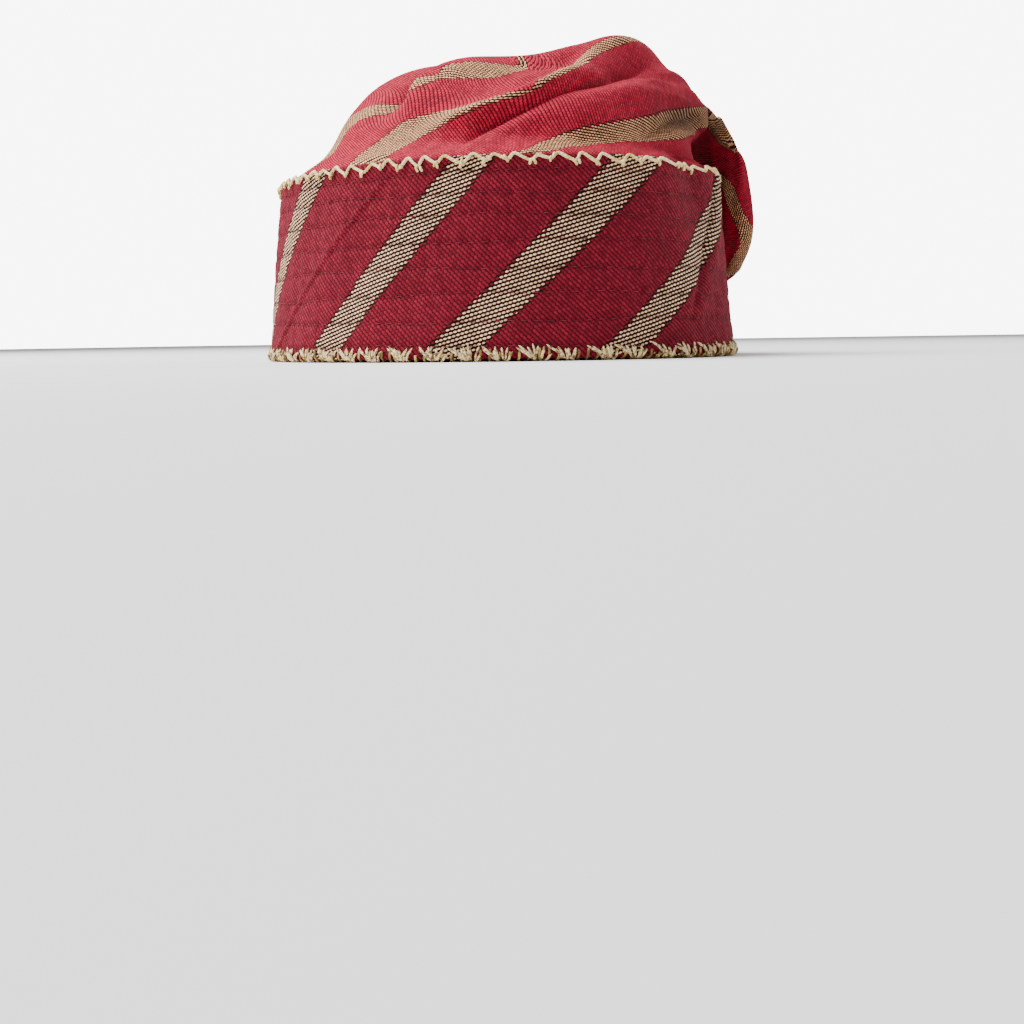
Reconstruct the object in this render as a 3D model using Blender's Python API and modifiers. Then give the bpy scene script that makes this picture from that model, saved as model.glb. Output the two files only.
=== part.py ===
"""Fila cap: a stiff quilted band, and a soft crown of the same cloth that stands inside it.

The crown rises out of the band, is gathered into slanting folds and flops over the band's rim at the
wearer's front left, where its closed end hangs outside the band.
The front of the cap faces -Y, the wearer's left is +X and the cap rests on Z = 0.
"""

import bpy
import numpy as np

# Sizes of the band, in metres
BAND_LONG = 0.206  # front to back, outside, at the bottom edge
BAND_WIDE = 0.172  # side to side, outside, at the bottom edge
BAND_HIGH = 0.0731
BAND_TAPER = 0.918  # top edge over bottom edge
BAND_WALL = 0.003  # quilted layers together
BAND_EDGE = 0.0006  # rounding of the band's rims
BAND_EDGE_STEPS = 2
BAND_SIDES = 72
BAND_ROWS = 7

# Sizes of the crown, in metres
CROWN_HIGH = 0.062  # top of the crown over the band's rim
CROWN_FOOT = 0.004  # lower edge of the crown over the floor
CLOTH = 0.0015
GAP = 0.0004  # between band and crown
FLAP_TURN = 57.0  # degrees from the front to the wearer's left
FLAP_OFF = 0.005  # how far the flap hangs off the band
ROLL = 0.003  # smallest radius that the cloth folds to
CROWN_SIDES = 72
FOOT_ROWS = 4
CROWN_ROWS = 24

# Edges turned by more than this are rims: they show sharp, and the band's are rounded
RIM_ANGLE = np.radians(60)
ROUGH = 0.85  # matt woven cloth
BAND_RED = (0.27, 0.014, 0.032)
CROWN_RED = (0.36, 0.020, 0.045)

# A fold is lower where a section is flatter than this share of the rim's half depth
FLAT_SHARE = 0.2
# and where the cloth runs shorter between two turns than this share of its run at the rim.
SHORT_SHARE = 0.5
# Share of the way up from the rim on which the crown still follows the band's dents
DENT_FADE = 0.2

# The band's dents. The turn is in degrees from the front to the wearer's left, the height and the
# reach down are shares of BAND_HIGH, and the depth is a share of BAND_WIDE.
DENTS = {
    # name: (turn, width in degrees, height, reach down, depth)
    "front right crease": (-9.0, 7.0, 1.0, 0.55, 0.022),
    "front left under the flap": (52.0, 26.0, 1.0, 0.80, 0.010),
    "right side pucker": (-62.0, 16.0, 0.55, 0.35, 0.004),
    "back left pucker": (150.0, 18.0, 0.50, 0.40, 0.005),
}

# The crown's sections, from the rim to the closed end. Each one is an oval that is held at two points:
# the near point passes over the rim under the flap, and the far point travels over the top.
#   way     share of the way from the rim to the closed end
#   over    near point: 0 inside the band, 1 hanging outside it
#   in_up   near point: height over the rim, share of CROWN_HIGH
#   along   far point: distance from the band's middle toward the flap, share of the half depth
#   out_up  far point: height over the rim, share of CROWN_HIGH
#   across  width over the width at the rim
#   bow     how far its two ends are lifted, share of CROWN_HIGH
SECTION_COLUMNS = ("way", "over", "in_up", "along", "out_up", "across", "bow")
SECTIONS = (
    (0.00, 0.00, 0.000, -1.00, 0.00, 1.00, 0.00),
    (0.10, 0.00, 0.060, -0.84, 0.22, 0.96, 0.00),
    (0.20, 0.00, 0.100, -0.71, 0.49, 0.91, 0.00),
    (0.31, 0.03, 0.130, -0.51, 0.70, 0.86, 0.00),
    (0.43, 0.10, 0.150, -0.19, 0.80, 0.81, 0.00),
    (0.56, 0.26, 0.165, 0.20, 0.87, 0.76, 0.00),
    (0.67, 0.48, 0.160, 0.56, 0.93, 0.71, 0.00),
    (0.73, 0.66, 0.140, 0.74, 0.76, 0.69, 0.00),
    (0.80, 0.84, 0.080, 0.93, 0.48, 0.67, 0.00),
    (0.89, 1.00, -0.120, 1.15, 0.08, 0.64, 0.03),
    (0.96, 1.00, -0.520, 1.25, -0.46, 0.60, 0.09),
    (1.00, 1.15, -0.740, 1.22, -0.74, 0.52, 0.14),
)

# The crown's folds. The turns are in degrees round from the flap's middle, at the five ways of
# FOLD_WAYS. The height is a share of CROWN_HIGH, and a hollow has a minus. The two widths are in degrees.
FOLD_WAYS = (0.0, 0.2, 0.4, 0.6, 1.0)
FOLDS = {
    # name: (turns at the five ways, height, width before, width after, start, ramp, end)
    "hollow at the back": ((171, 183, 189, 192, 193), -0.04, 16, 10, 0.00, 0.12, 0.90),
    "hollow before the lap": ((189, 198, 201, 200, 193), -0.08, 9, 7, 0.02, 0.10, 0.62),
    "lapping crest": ((199, 208, 211, 209, 205), 0.07, 7, 10, 0.02, 0.10, 0.60),
    "hump on the lap": ((207, 210, 214, 215, 205), 0.06, 10, 12, 0.26, 0.12, 0.50),
    "middle hollow": ((205, 221, 226, 221, 211), -0.06, 9, 10, 0.06, 0.12, 0.60),
    "long crest": ((206, 233, 242, 228, 215), 0.10, 10, 8, 0.02, 0.10, 0.95),
    "peak of the long crest": ((213, 213, 215, 215, 211), 0.13, 12, 11, 0.52, 0.12, 0.76),
    "long valley": ((223, 247, 254, 250, 243), -0.12, 8, 7, 0.02, 0.10, 0.75),
    "roll over the rim": ((235, 254, 271, 270, 261), 0.07, 10, 16, 0.02, 0.12, 0.58),
    "shoulder": ((243, 243, 243, 244, 243), -0.13, 16, 24, 0.42, 0.16, 0.92),
    "pocket by the flap": ((268, 285, 295, 298, 280), -0.09, 11, 9, 0.08, 0.12, 1.20),
    "left hollow": ((108, 100, 96, 95, 97), -0.06, 18, 16, 0.05, 0.20, 0.85),
    "left roll": ((140, 136, 128, 122, 118), 0.05, 14, 18, 0.03, 0.18, 0.80),
}


def smooth_rows(at, xs, ys):
    """Value at each place of a smooth line through the rows: cubic pieces with the rows' own slopes."""
    xs, ys = np.asarray(xs, float), np.asarray(ys, float)
    i = np.clip(np.searchsorted(xs, at, side="right") - 1, 0, len(xs) - 2)
    span = xs[i + 1] - xs[i]
    t = (at - xs[i]) / span
    slope = np.gradient(ys, xs)
    rise = ys[i] + (ys[i + 1] - ys[i]) * t * t * (3 - 2 * t)
    return rise + span * t * (1 - t) * (slope[i] * (1 - t) - slope[i + 1] * t)


def ease(x):
    """0 below 0, 1 above 1, with a soft step between."""
    x = np.clip(x, 0, 1)
    return x * x * (3 - 2 * x)


def apart(turn, other):
    """Degrees from one turn to another, between -180 and 180."""
    return (turn - other + 180) % 360 - 180


def half_sizes(high):
    """Half width and half length of the band's outside at this height."""
    size = 1 - (1 - BAND_TAPER) * high / BAND_HIGH
    return BAND_WIDE / 2 * size, BAND_LONG / 2 * size


def toward_flap():
    """Unit vectors toward the flap and across it, wearer's left side first."""
    turn = np.radians(FLAP_TURN)
    return np.array([np.sin(turn), -np.cos(turn)]), np.array([np.cos(turn), np.sin(turn)])


def half_depth(high, inset):
    """Distance from the band's middle to its wall in the flap's direction, less the inset."""
    flap, _ = toward_flap()
    wide, long = half_sizes(high)
    return np.hypot((wide - inset) * flap[0], (long - inset) * flap[1])


def first_turn():
    """The turn, from the front, at which the crown's oval reaches farthest across the flap."""
    _, across = toward_flap()
    wide, long = half_sizes(BAND_HIGH)
    inset = BAND_WALL + GAP
    return np.arctan2((wide - inset) * across[0], -(long - inset) * across[1])


def dent_depth(turn, high):
    """How far the band's wall is pushed in at this turn in radians and height."""
    depth = np.zeros(np.broadcast(turn, high).shape)
    for place, width, level, reach, share in DENTS.values():
        round_it = np.exp(-((apart(np.degrees(turn), place) / width) ** 2))
        down = np.exp(-(((high / BAND_HIGH - level) / reach) ** 2))
        depth += share * BAND_WIDE * round_it * down
    return depth


def wall_points(turn, high, inset):
    """The band's wall at each turn and height, moved in by the inset and by its dents."""
    wide, long = half_sizes(high)
    inset = inset + dent_depth(turn, high)
    return np.stack([(wide - inset) * np.sin(turn), -(long - inset) * np.cos(turn), high + 0 * turn], -1)


def fold_height(turn, way):
    """How far the folds lift the crown at each turn from the flap in degrees, share of CROWN_HIGH."""
    lift = np.zeros(np.broadcast(turn, way).shape)
    for turns, height, before, after, start, ramp, end in FOLDS.values():
        off = apart(turn, smooth_rows(way, FOLD_WAYS, turns))
        shape = np.exp(-((off / np.where(off < 0, before, after)) ** 2))
        lift += height * shape * ease((way - start) / ramp) * ease((end - way) / ramp)
    return lift


def section_points(turn, way):
    """The crown's plain sections: each oval lies between its near and far point, grown by the roll."""
    column = dict(zip(SECTION_COLUMNS, np.transpose(SECTIONS)))
    over, in_up, along, out_up, share, bow = (
        smooth_rows(way, column["way"], column[name]) for name in SECTION_COLUMNS[1:]
    )
    flap, across = toward_flap()
    inset = BAND_WALL + GAP
    rim = half_depth(BAND_HIGH, inset)
    near_up, far_up = in_up * CROWN_HIGH, out_up * CROWN_HIGH
    near = half_depth(BAND_HIGH + np.minimum(near_up, 0), inset) + over * (inset + FLAP_OFF)
    far = along * rim
    half = np.hypot(near - far, near_up - far_up) / 2
    along_dir, up_dir = (near - far) / 2 / half, (near_up - far_up) / 2 / half
    roll = np.minimum(ROLL, half / 2)
    wide, long = half_sizes(BAND_HIGH)
    inset = inset + dent_depth(turn, BAND_HIGH) * (1 - ease(way / DENT_FADE))
    wide, long = wide - inset - roll, long - inset - roll
    squash = (half - roll) / (rim - roll)
    x, y = wide * np.sin(turn), -long * np.cos(turn)
    dx, dy = wide * np.cos(turn), long * np.sin(turn)
    side = (x * across[0] + y * across[1]) * share
    depth = (x * flap[0] + y * flap[1]) * squash
    side_step = (dx * across[0] + dy * across[1]) * share
    depth_step = (dx * flap[0] + dy * flap[1]) * squash
    # The oval grows by the roll along its own normal.
    step = np.hypot(side_step, depth_step)
    side = side + roll * depth_step / step
    depth = depth - roll * side_step / step
    out = (near + far) / 2 + depth * along_dir
    up = BAND_HIGH + (near_up + far_up) / 2 + depth * up_dir
    up = up + bow * CROWN_HIGH * (side / (rim * share)) ** 2
    points = np.stack([flap[0] * out + across[0] * side, flap[1] * out + across[1] * side, up], -1)
    return points, half / rim


def crown_points(turn, way):
    """The crown with its folds: the plain sections, lifted along their normals."""
    points, depth_share = section_points(turn, way)
    round_it = np.roll(points, -1, 1) - np.roll(points, 1, 1)
    along_it = np.gradient(points, axis=0)
    normal = np.cross(round_it, along_it)
    normal /= np.linalg.norm(normal, axis=-1, keepdims=True)
    run = np.linalg.norm(round_it, axis=-1)
    lift = fold_height(np.degrees(turn) - FLAP_TURN, way) * CROWN_HIGH
    lift *= np.minimum(1, depth_share / FLAT_SHARE) * np.minimum(1, run / run[0] / SHORT_SHARE)
    return points + normal * lift[..., None]


def foot_points(turn):
    """The crown's lower part, which stands inside the band, without its last row at the rim."""
    high = np.linspace(CROWN_FOOT, BAND_HIGH, FOOT_ROWS, endpoint=False)[:, None]
    return wall_points(turn[None, :], high + 0 * turn[None, :], BAND_WALL + GAP)


def clear_scene():
    for thing in list(bpy.data.objects):
        bpy.data.objects.remove(thing)


def cloth_material(name, colour):
    material = bpy.data.materials.new(name)
    material.use_nodes = True
    shader = material.node_tree.nodes["Principled BSDF"]
    shader.inputs["Base Color"].default_value = (*colour, 1)
    shader.inputs["Roughness"].default_value = ROUGH
    return material


def add_object(name, points, faces, material, collection):
    mesh = bpy.data.meshes.new(name)
    mesh.from_pydata(points.reshape(-1, 3).tolist(), [], faces)
    mesh.materials.append(material)
    mesh.shade_smooth()
    mesh.set_sharp_from_angle(angle=RIM_ANGLE)
    thing = bpy.data.objects.new(name, mesh)
    collection.objects.link(thing)
    return thing


def skin(rows, sides, closed):
    """Faces between neighbouring rows of one loft, each row being a ring of points."""
    faces = []
    for row in range(rows if closed else rows - 1):
        for side in range(sides):
            here, there = row * sides, (row + 1) % rows * sides
            following = (side + 1) % sides
            faces.append((here + side, here + following, there + following, there + side))
    return faces


def closing_faces(row, sides):
    """Faces that join the two layers of the flattened last ring."""
    start = row * sides
    faces = []
    for side in range(sides // 2):
        back, back_next = (sides - side) % sides, sides - side - 1
        corners = dict.fromkeys((start + side, start + side + 1, start + back_next, start + back))
        faces.append(tuple(corners))
    return faces


def band_loft():
    """Rings round the band's wall: up the outside, over the rim and down the inside."""
    turn = np.linspace(0, 2 * np.pi, BAND_SIDES, endpoint=False)[None, :]
    high = np.linspace(0, BAND_HIGH, BAND_ROWS + 1)[:, None] + 0 * turn
    outside = wall_points(turn + 0 * high, high, 0)
    inside = wall_points(turn + 0 * high, high, BAND_WALL)[::-1]
    return np.concatenate([outside, inside])


def crown_loft():
    """Rings of the crown's outside, from the lower edge inside the band to the closed end."""
    turn = first_turn() + np.linspace(0, 2 * np.pi, CROWN_SIDES, endpoint=False)
    way = np.linspace(0, 1, CROWN_ROWS + 1)[:, None] + 0 * turn[None, :]
    return np.concatenate([foot_points(turn), crown_points(turn[None, :] + 0 * way, way)])


def build():
    clear_scene()
    collection = bpy.data.collections.new("fila cap")
    bpy.context.scene.collection.children.link(collection)

    band, crown = band_loft(), crown_loft()
    every = np.concatenate([band.reshape(-1, 3), crown.reshape(-1, 3)])
    middle = (every.min(0) + every.max(0)) / 2
    shift = np.array([middle[0], middle[1], 0])

    red = cloth_material("band cloth", BAND_RED)
    band_thing = add_object("band", band - shift, skin(len(band), BAND_SIDES, True), red, collection)
    rounding = band_thing.modifiers.new("rounded rims", "BEVEL")
    rounding.limit_method = "ANGLE"
    rounding.angle_limit = RIM_ANGLE
    rounding.width = BAND_EDGE
    rounding.segments = BAND_EDGE_STEPS

    rose = cloth_material("crown cloth", CROWN_RED)
    faces = skin(len(crown), CROWN_SIDES, False) + closing_faces(len(crown) - 1, CROWN_SIDES)
    crown_thing = add_object("crown", crown - shift, faces, rose, collection)
    thickness = crown_thing.modifiers.new("cloth thickness", "SOLIDIFY")
    thickness.thickness = CLOTH
    thickness.offset = -1
    thickness.use_even_offset = False
    thickness.use_rim = True


build()
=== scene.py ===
"""Fila cap: the finished looks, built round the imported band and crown.

The band is a quilted strip of striped cloth, with a cord sewn in a zigzag over its top rim and
bunches of thread round its bottom rim. The crown is one bag of the same cloth: it stands inside the
band, is gathered into slanting folds and hangs over the rim at the wearer's front left.
The front faces -Y, the wearer's left is +X and the cap rests on Z = 0.
"""

import bmesh
import bpy
import numpy as np
from mathutils import Matrix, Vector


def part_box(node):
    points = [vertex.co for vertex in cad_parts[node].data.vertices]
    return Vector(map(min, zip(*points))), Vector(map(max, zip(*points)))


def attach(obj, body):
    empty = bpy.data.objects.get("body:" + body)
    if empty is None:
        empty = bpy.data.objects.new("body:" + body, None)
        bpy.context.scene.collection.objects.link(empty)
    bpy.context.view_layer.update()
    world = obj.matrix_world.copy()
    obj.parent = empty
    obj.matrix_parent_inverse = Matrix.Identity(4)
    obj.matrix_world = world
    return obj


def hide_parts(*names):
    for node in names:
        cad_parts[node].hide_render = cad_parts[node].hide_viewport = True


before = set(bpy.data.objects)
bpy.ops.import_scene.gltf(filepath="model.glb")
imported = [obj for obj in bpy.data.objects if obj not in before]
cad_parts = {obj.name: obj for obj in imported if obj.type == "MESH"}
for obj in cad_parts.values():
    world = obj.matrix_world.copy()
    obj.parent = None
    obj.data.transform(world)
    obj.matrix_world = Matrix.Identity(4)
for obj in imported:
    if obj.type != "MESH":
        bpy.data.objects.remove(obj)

bl_info = {
    "name": "Fila cap",
    "version": (1, 0, 0),
    "blender": (4, 5, 0),
    "location": "3D View > Sidebar > Fila cap",
    "description": "Builds the cloth, the stitches and the stage of a striped fila cap",
    "category": "Object",
}

UV_NAME = "cloth"
# Numbers kept on the cloth's points: how dark it is (painted shade in the crown's hollows and the
# band's crease, and darker lines along the band's sewn rows and joins), how often its threads are
# halved, and the place across the stripes
SHADE = "shade"
HALVINGS = "halvings"
STRIPE_WAVES = ("stripe sine", "stripe cosine")

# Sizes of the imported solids, in metres
BAND_LOW, BAND_TOP = (np.array(corner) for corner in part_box("band"))
BAND_WIDE, BAND_LONG, BAND_HIGH = BAND_TOP - BAND_LOW
MIDDLE = (BAND_LOW + BAND_TOP) / 2 * (1, 1, 0)
BAND_TAPER = 0.918  # top edge over bottom edge
BAND_WALL = 0.003
GAP = 0.0004  # between band and crown
CROWN_HIGH = 0.062  # top of the crown over the band's rim
CROWN_FOOT = 0.004
FLAP_TURN = 57.0  # degrees from the front to the wearer's left
FLAP_OFF = 0.005  # how far the flap hangs off the band
ROLL = 0.003  # smallest radius that the cloth folds to
RIM_SWELL = 0.08  # way past the rim over which the crown draws in by the roll
FLAP_SWELL = (0.76, 0.88)  # ways between which the flap swells by the roll
FULL_TURN = 2 * np.pi
ROUND = 360.0
OVAL_STEPS = 1441
LAPS = (-1, 0, 1, 2)  # times round at which the stripes are laid out

# Shares that keep the crown's folds low where the cloth is pressed flat or runs short
FLAT_SHARE = 0.2
SHORT_SHARE = 0.5
DENT_FADE = 0.2  # way over which the band's dents leave the crown
UNEVEN_RAMP = 0.06  # way over which the waves of slack cloth set in
# The crown's hollows get painted shade, in full at the depth below
DEEP_HOLLOW = 0.11  # a hollow this deep, as a share of CROWN_HIGH, has its full shade
TINY_TURN = 1e-3  # steps in which slopes are measured
TINY_WAY = 1e-3

# The band's dents: turn from the front to the wearer's left and width in degrees, height and reach
# down as shares of the band's height, depth as a share of its width.
DENTS = {
    # name: (turn, width, height, reach down, depth)
    "front right crease": (-9.0, 7.0, 1.0, 0.55, 0.022),
    "front left under the flap": (52.0, 26.0, 1.0, 0.80, 0.010),
    "right side pucker": (-62.0, 16.0, 0.55, 0.35, 0.004),
    "back left pucker": (150.0, 18.0, 0.50, 0.40, 0.005),
}

# The crown's sections from the rim to the closed end, each an oval between a near point, which
# passes over the rim under the flap, and a far point, which travels over the top. Heights are over
# the rim and shares of CROWN_HIGH, widths are shares of the rim's.
SECTION_COLUMNS = ("way", "over", "in_up", "along", "out_up", "across", "bow")
SECTIONS = (
    (0.00, 0.00, 0.000, -1.00, 0.00, 1.00, 0.00),
    (0.10, 0.00, 0.060, -0.84, 0.22, 0.96, 0.00),
    (0.20, 0.00, 0.100, -0.71, 0.49, 0.91, 0.00),
    (0.31, 0.03, 0.130, -0.51, 0.70, 0.86, 0.00),
    (0.43, 0.10, 0.150, -0.19, 0.80, 0.81, 0.00),
    (0.56, 0.26, 0.165, 0.20, 0.87, 0.76, 0.00),
    (0.67, 0.48, 0.160, 0.56, 0.93, 0.71, 0.00),
    (0.73, 0.66, 0.140, 0.74, 0.76, 0.69, 0.00),
    (0.80, 0.76, 0.080, 0.95, 0.48, 0.67, 0.00),
    (0.89, 0.62, -0.120, 1.19, 0.08, 0.64, 0.03),
    (0.96, 0.60, -0.520, 1.29, -0.46, 0.60, 0.09),
    (1.00, 0.80, -0.740, 1.25, -0.74, 0.52, 0.14),
)

# The crown's folds: turns from the front in degrees at the ways of WAYS, height as a share of
# CROWN_HIGH, widths before and after in degrees, keenness before and after, how many degrees the
# cloth leans over, and the ways at which the fold starts, over which it ramps, and at which it ends
WAYS = (0.0, 0.10, 0.20, 0.32, 0.50, 0.70, 1.0)
FOLDS = (
    # back lobe
    ((205, 212, 218, 224, 228, 230, 230), 0.040, 22, 16, 0.0, 0.0, 0, 0.10, 0.24, 0.60),
    # hollow before the lap
    ((238, 243, 248, 252, 254, 252, 250), -0.07, 8, 5, 0.3, 0.5, 0, 0.12, 0.10, 0.50),
    # lapping crest
    ((254, 258, 260, 263, 266, 262, 262), 0.052, 5, 11, 0.6, 0.1, -5, 0.12, 0.12, 0.46),
    # middle hollow
    ((258, 267, 277, 284, 280, 268, 264), -0.04, 9, 9, 0.1, 0.1, 0, 0.06, 0.12, 0.56),
    # long crest
    ((258, 270, 293, 300, 287, 277, 270), 0.085, 11, 9, 0.7, 0.1, 0, 0.04, 0.14, 0.95),
    # hollow behind the crest
    ((250, 264, 286, 293, 281, 271, 264), -0.03, 4, 5, 0.2, 0.2, 0, 0.14, 0.12, 0.56),
    # peak of the long crest
    ((275, 275, 277, 280, 278, 275, 268), 0.10, 14, 13, 0.4, 0.0, 0, 0.36, 0.14, 0.70),
    # long valley
    ((278, 285, 300, 309, 301, 286, 280), -0.06, 4, 3.5, 0.9, 0.9, 0, 0.02, 0.10, 0.62),
    # roll over the rim
    ((287, 295, 310, 321, 318, 312, 308), 0.05, 7, 18, 0.1, 0.0, 0, 0.02, 0.14, 0.62),
    # right slope
    ((305, 305, 305, 305, 305, 302, 300), 0.03, 14, 12, 0.0, 0.0, 0, 0.56, 0.08, 0.76),
    # shoulder
    ((325, 325, 325, 325, 325, 325, 325), -0.11, 24, 24, 0.0, 0.0, 0, 0.60, 0.14, 0.88),
    # pocket by the flap
    ((318, 332, 341, 347, 352, 345, 333), -0.04, 7, 5, 0.5, 0.5, 0, 0.06, 0.12, 0.60),
    # roll by the flap
    ((328, 343, 353, 360, 364, 355, 340), 0.035, 9, 12, 0.2, 0.1, 0, 0.04, 0.12, 0.72),
    # outer crease
    ((318, 318, 318, 318, 318, 318, 316), -0.03, 5, 4, 0.4, 0.4, 0, 0.70, 0.12, 1.2),
    # left hollow
    ((165, 161, 157, 154, 152, 152, 154), -0.06, 18, 16, 0.1, 0.1, 0, 0.05, 0.20, 0.85),
    # left swell
    ((222, 222, 222, 222, 222, 222, 222), 0.022, 20, 20, 0.0, 0.0, 0, 0.0, 0.08, 0.22),
    # left roll
    ((197, 195, 193, 189, 182, 178, 175), 0.05, 14, 18, 0.1, 0.1, 0, 0.03, 0.18, 0.80),
)

# Painted shade on the crown's cloth: turn, way, their widths and the shade's strength
PAINTED_SHADES = {
    "under the right fold": (350, 0.44, 22, 0.32, 0.90),
    "behind the flap's crease": (320, 0.91, 13, 0.09, 0.80),
    "right of the peak": (312, 0.56, 20, 0.18, 0.40),
    "pocket by the flap": (372, 0.70, 14, 0.08, 0.60),
}

# The crown's stripes, from the wearer's left round the back to the front: for each the way, the
# turn of its middle from the front and its half width in degrees. A stripe narrows where it runs
# into a fold. Only the last four are in the photo.
CROWN_STRIPES = (
    ((0.0, 50, 7), (0.20, 56, 7), (0.50, 66, 7), (0.70, 64, 7), (0.86, 52, 7), (1.0, 46, 8)),
    ((0.0, 102, 7), (0.20, 114, 7), (0.50, 130, 7), (0.70, 128, 7), (0.86, 118, 7), (1.0, 110, 8)),
    ((0.0, 158, 7), (0.20, 174, 7), (0.50, 190, 7), (0.70, 184, 7), (0.86, 176, 7), (1.0, 170, 8)),
    (
        (0.0, 222, 7.5), (0.08, 221, 8), (0.14, 221, 9), (0.18, 236, 12), (0.21, 254, 8),
        (0.24, 265, 2), (0.29, 272, 6.5), (0.32, 275, 5.5), (0.36, 279, 1.8), (0.44, 264, 1.5),
        (0.56, 246, 5), (0.70, 236, 6), (1.0, 228, 6),
    ),
    (
        (0.0, 260.5, 5.5), (0.06, 258.5, 6.5), (0.10, 263, 9), (0.15, 274, 9.5), (0.18, 290.5, 2),
        (0.24, 297.5, 1.6), (0.32, 300, 2), (0.44, 291.5, 3), (0.50, 288, 2.2), (0.56, 285, 1.7),
        (0.70, 277, 3.5), (1.0, 266, 6),
    ),
    (
        (0.0, 301, 3), (0.02, 305, 4), (0.05, 309.5, 5.5), (0.07, 315, 9), (0.10, 323, 12),
        (0.15, 336, 14), (0.24, 348, 12), (0.34, 353, 12.5), (0.58, 351.5, 9.5), (0.66, 353, 10),
        (0.70, 352, 12), (0.74, 338, 26), (0.80, 330, 23), (0.84, 315, 15), (0.88, 307, 10),
        (0.93, 300, 8), (1.0, 290, 7),
    ),
    (
        (0.0, 374, 5), (0.10, 380, 6), (0.20, 385, 6), (0.50, 398, 6), (0.75, 402, 4),
        (0.80, 395, 3), (0.85, 371, 4), (0.88, 360, 6.5), (0.92, 349, 8), (0.945, 339, 8),
        (0.96, 333, 8), (1.0, 338, 18),
    ),
)
CROWN_STRIPE_CLIMB = 28.0  # degrees over the rim's line, in the foot

# The band's stripes: distance round from the front at the middle height, how far they lean on for
# each metre up, and their widths at the bottom and top rim as shares of the plain width
BAND_STRIPES = (
    (0.0510, 1.00, 1.0, 1.0),
    (0.1130, 1.00, 1.1, 1.0),
    (0.1750, 1.00, 1.0, 1.1),
    (0.2370, 1.00, 1.0, 1.0),
    (0.2990, 0.90, 1.0, 1.0),
    (0.3555, 0.84, 1.0, 1.0),
    (0.4270, 0.95, 1.05, 1.05),
    (0.4865, 1.07, 1.2, 1.4),
    (0.5510, 1.15, 1.05, 1.15),
)
BAND_STRIPE_CLIMB = 45.0
# Joins of the band's strips: distance round at the middle height, and lean
BAND_JOINS = ((0.391, 1.10), (0.206, 1.05))
BAND_CREASE = (0.5578, 0.62)  # as a join, where the band turns toward the front
# Heights of the quilting rows, shares of the band's height
QUILT_ROWS = (0.075, 0.200, 0.330, 0.457, 0.585, 0.712, 0.822, 0.920)


def sizes():
    return bpy.context.scene.fila_cap_sizes


def colours():
    return bpy.context.scene.fila_cap_colours


# Smooth lines, turns and walls


def smooth_rows(at, xs, ys):
    """A smooth line through the rows, read at each place: cubic pieces with the rows' slopes."""
    xs, ys = np.asarray(xs, float), np.asarray(ys, float)
    i = np.clip(np.searchsorted(xs, at, side="right") - 1, 0, len(xs) - 2)
    span = xs[i + 1] - xs[i]
    t = (at - xs[i]) / span
    slope = np.gradient(ys, xs)
    rise = ys[i] + (ys[i + 1] - ys[i]) * t * t * (3 - 2 * t)
    return rise + span * t * (1 - t) * (slope[i] * (1 - t) - slope[i + 1] * t)


def ease(x):
    """0 below 0, 1 above 1, and x squared times (3 - 2x) between."""
    x = np.clip(x, 0, 1)
    return x * x * (3 - 2 * x)


def bell(off, width):
    """1 in the middle, and e to the minus square of the distance over the width."""
    return np.exp(-((off / width) ** 2))


def unit(vectors):
    return vectors / np.maximum(np.linalg.norm(vectors, axis=-1, keepdims=True), 1e-12)


def apart(turn, other):
    """Degrees from one turn to another, between -180 and 180."""
    return (turn - other + ROUND / 2) % ROUND - ROUND / 2


def half_sizes(high):
    """Half width and half length of the band's outside, which narrows evenly with the height."""
    size = 1 - (1 - BAND_TAPER) * high / BAND_HIGH
    return BAND_WIDE / 2 * size, BAND_LONG / 2 * size


def outward(turn):
    """Unit vector square to the band's oval at each turn, along (sin / width, -cos / length)."""
    return unit(np.stack([np.sin(turn) / BAND_WIDE, -np.cos(turn) / BAND_LONG, 0 * turn], -1))


def dent_depth(turn, high):
    """Depth of the dents: each is a bell over the turn times a bell over the height."""
    depth = np.zeros(np.broadcast(turn, high).shape)
    for place, width, level, reach, share in DENTS.values():
        round_it = bell(apart(np.degrees(turn), place), width)
        depth += share * BAND_WIDE * round_it * bell(high / BAND_HIGH - level, reach)
    return depth


def wall_points(turn, high, inset):
    """The band's wall: at each height an oval, smaller all round by the inset and the dents."""
    wide, long = half_sizes(high)
    inset = inset + dent_depth(turn, high)
    x, y = (wide - inset) * np.sin(turn), -(long - inset) * np.cos(turn)
    return np.stack([x, y, high + 0 * turn], -1)


def distance_round(turn):
    """Distance round the band from the front at its middle height, summed along the oval."""
    wide, long = half_sizes(BAND_HIGH / 2)
    steps = np.linspace(0, FULL_TURN, OVAL_STEPS)
    pieces = np.hypot(wide * np.cos(steps), long * np.sin(steps))
    total = np.concatenate([[0], np.cumsum((pieces[1:] + pieces[:-1]) / 2 * steps[1])])
    rounds, rest = np.divmod(turn, FULL_TURN)
    return rounds * total[-1] + np.interp(rest, steps, total)


LENGTH_ROUND = distance_round(np.array(FULL_TURN))


def turn_at(distance):
    """The turn at a distance round the band: distance_round read backwards.

    The turns stay a hair under a full turn, which would count as the next round.
    """
    turns = np.linspace(0, FULL_TURN, OVAL_STEPS)
    rounds, rest = np.divmod(distance, distance_round(np.array(FULL_TURN - 1e-9)))
    return rounds * FULL_TURN + np.interp(rest, distance_round(turns - 1e-9 * (turns > 1)), turns)


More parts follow.
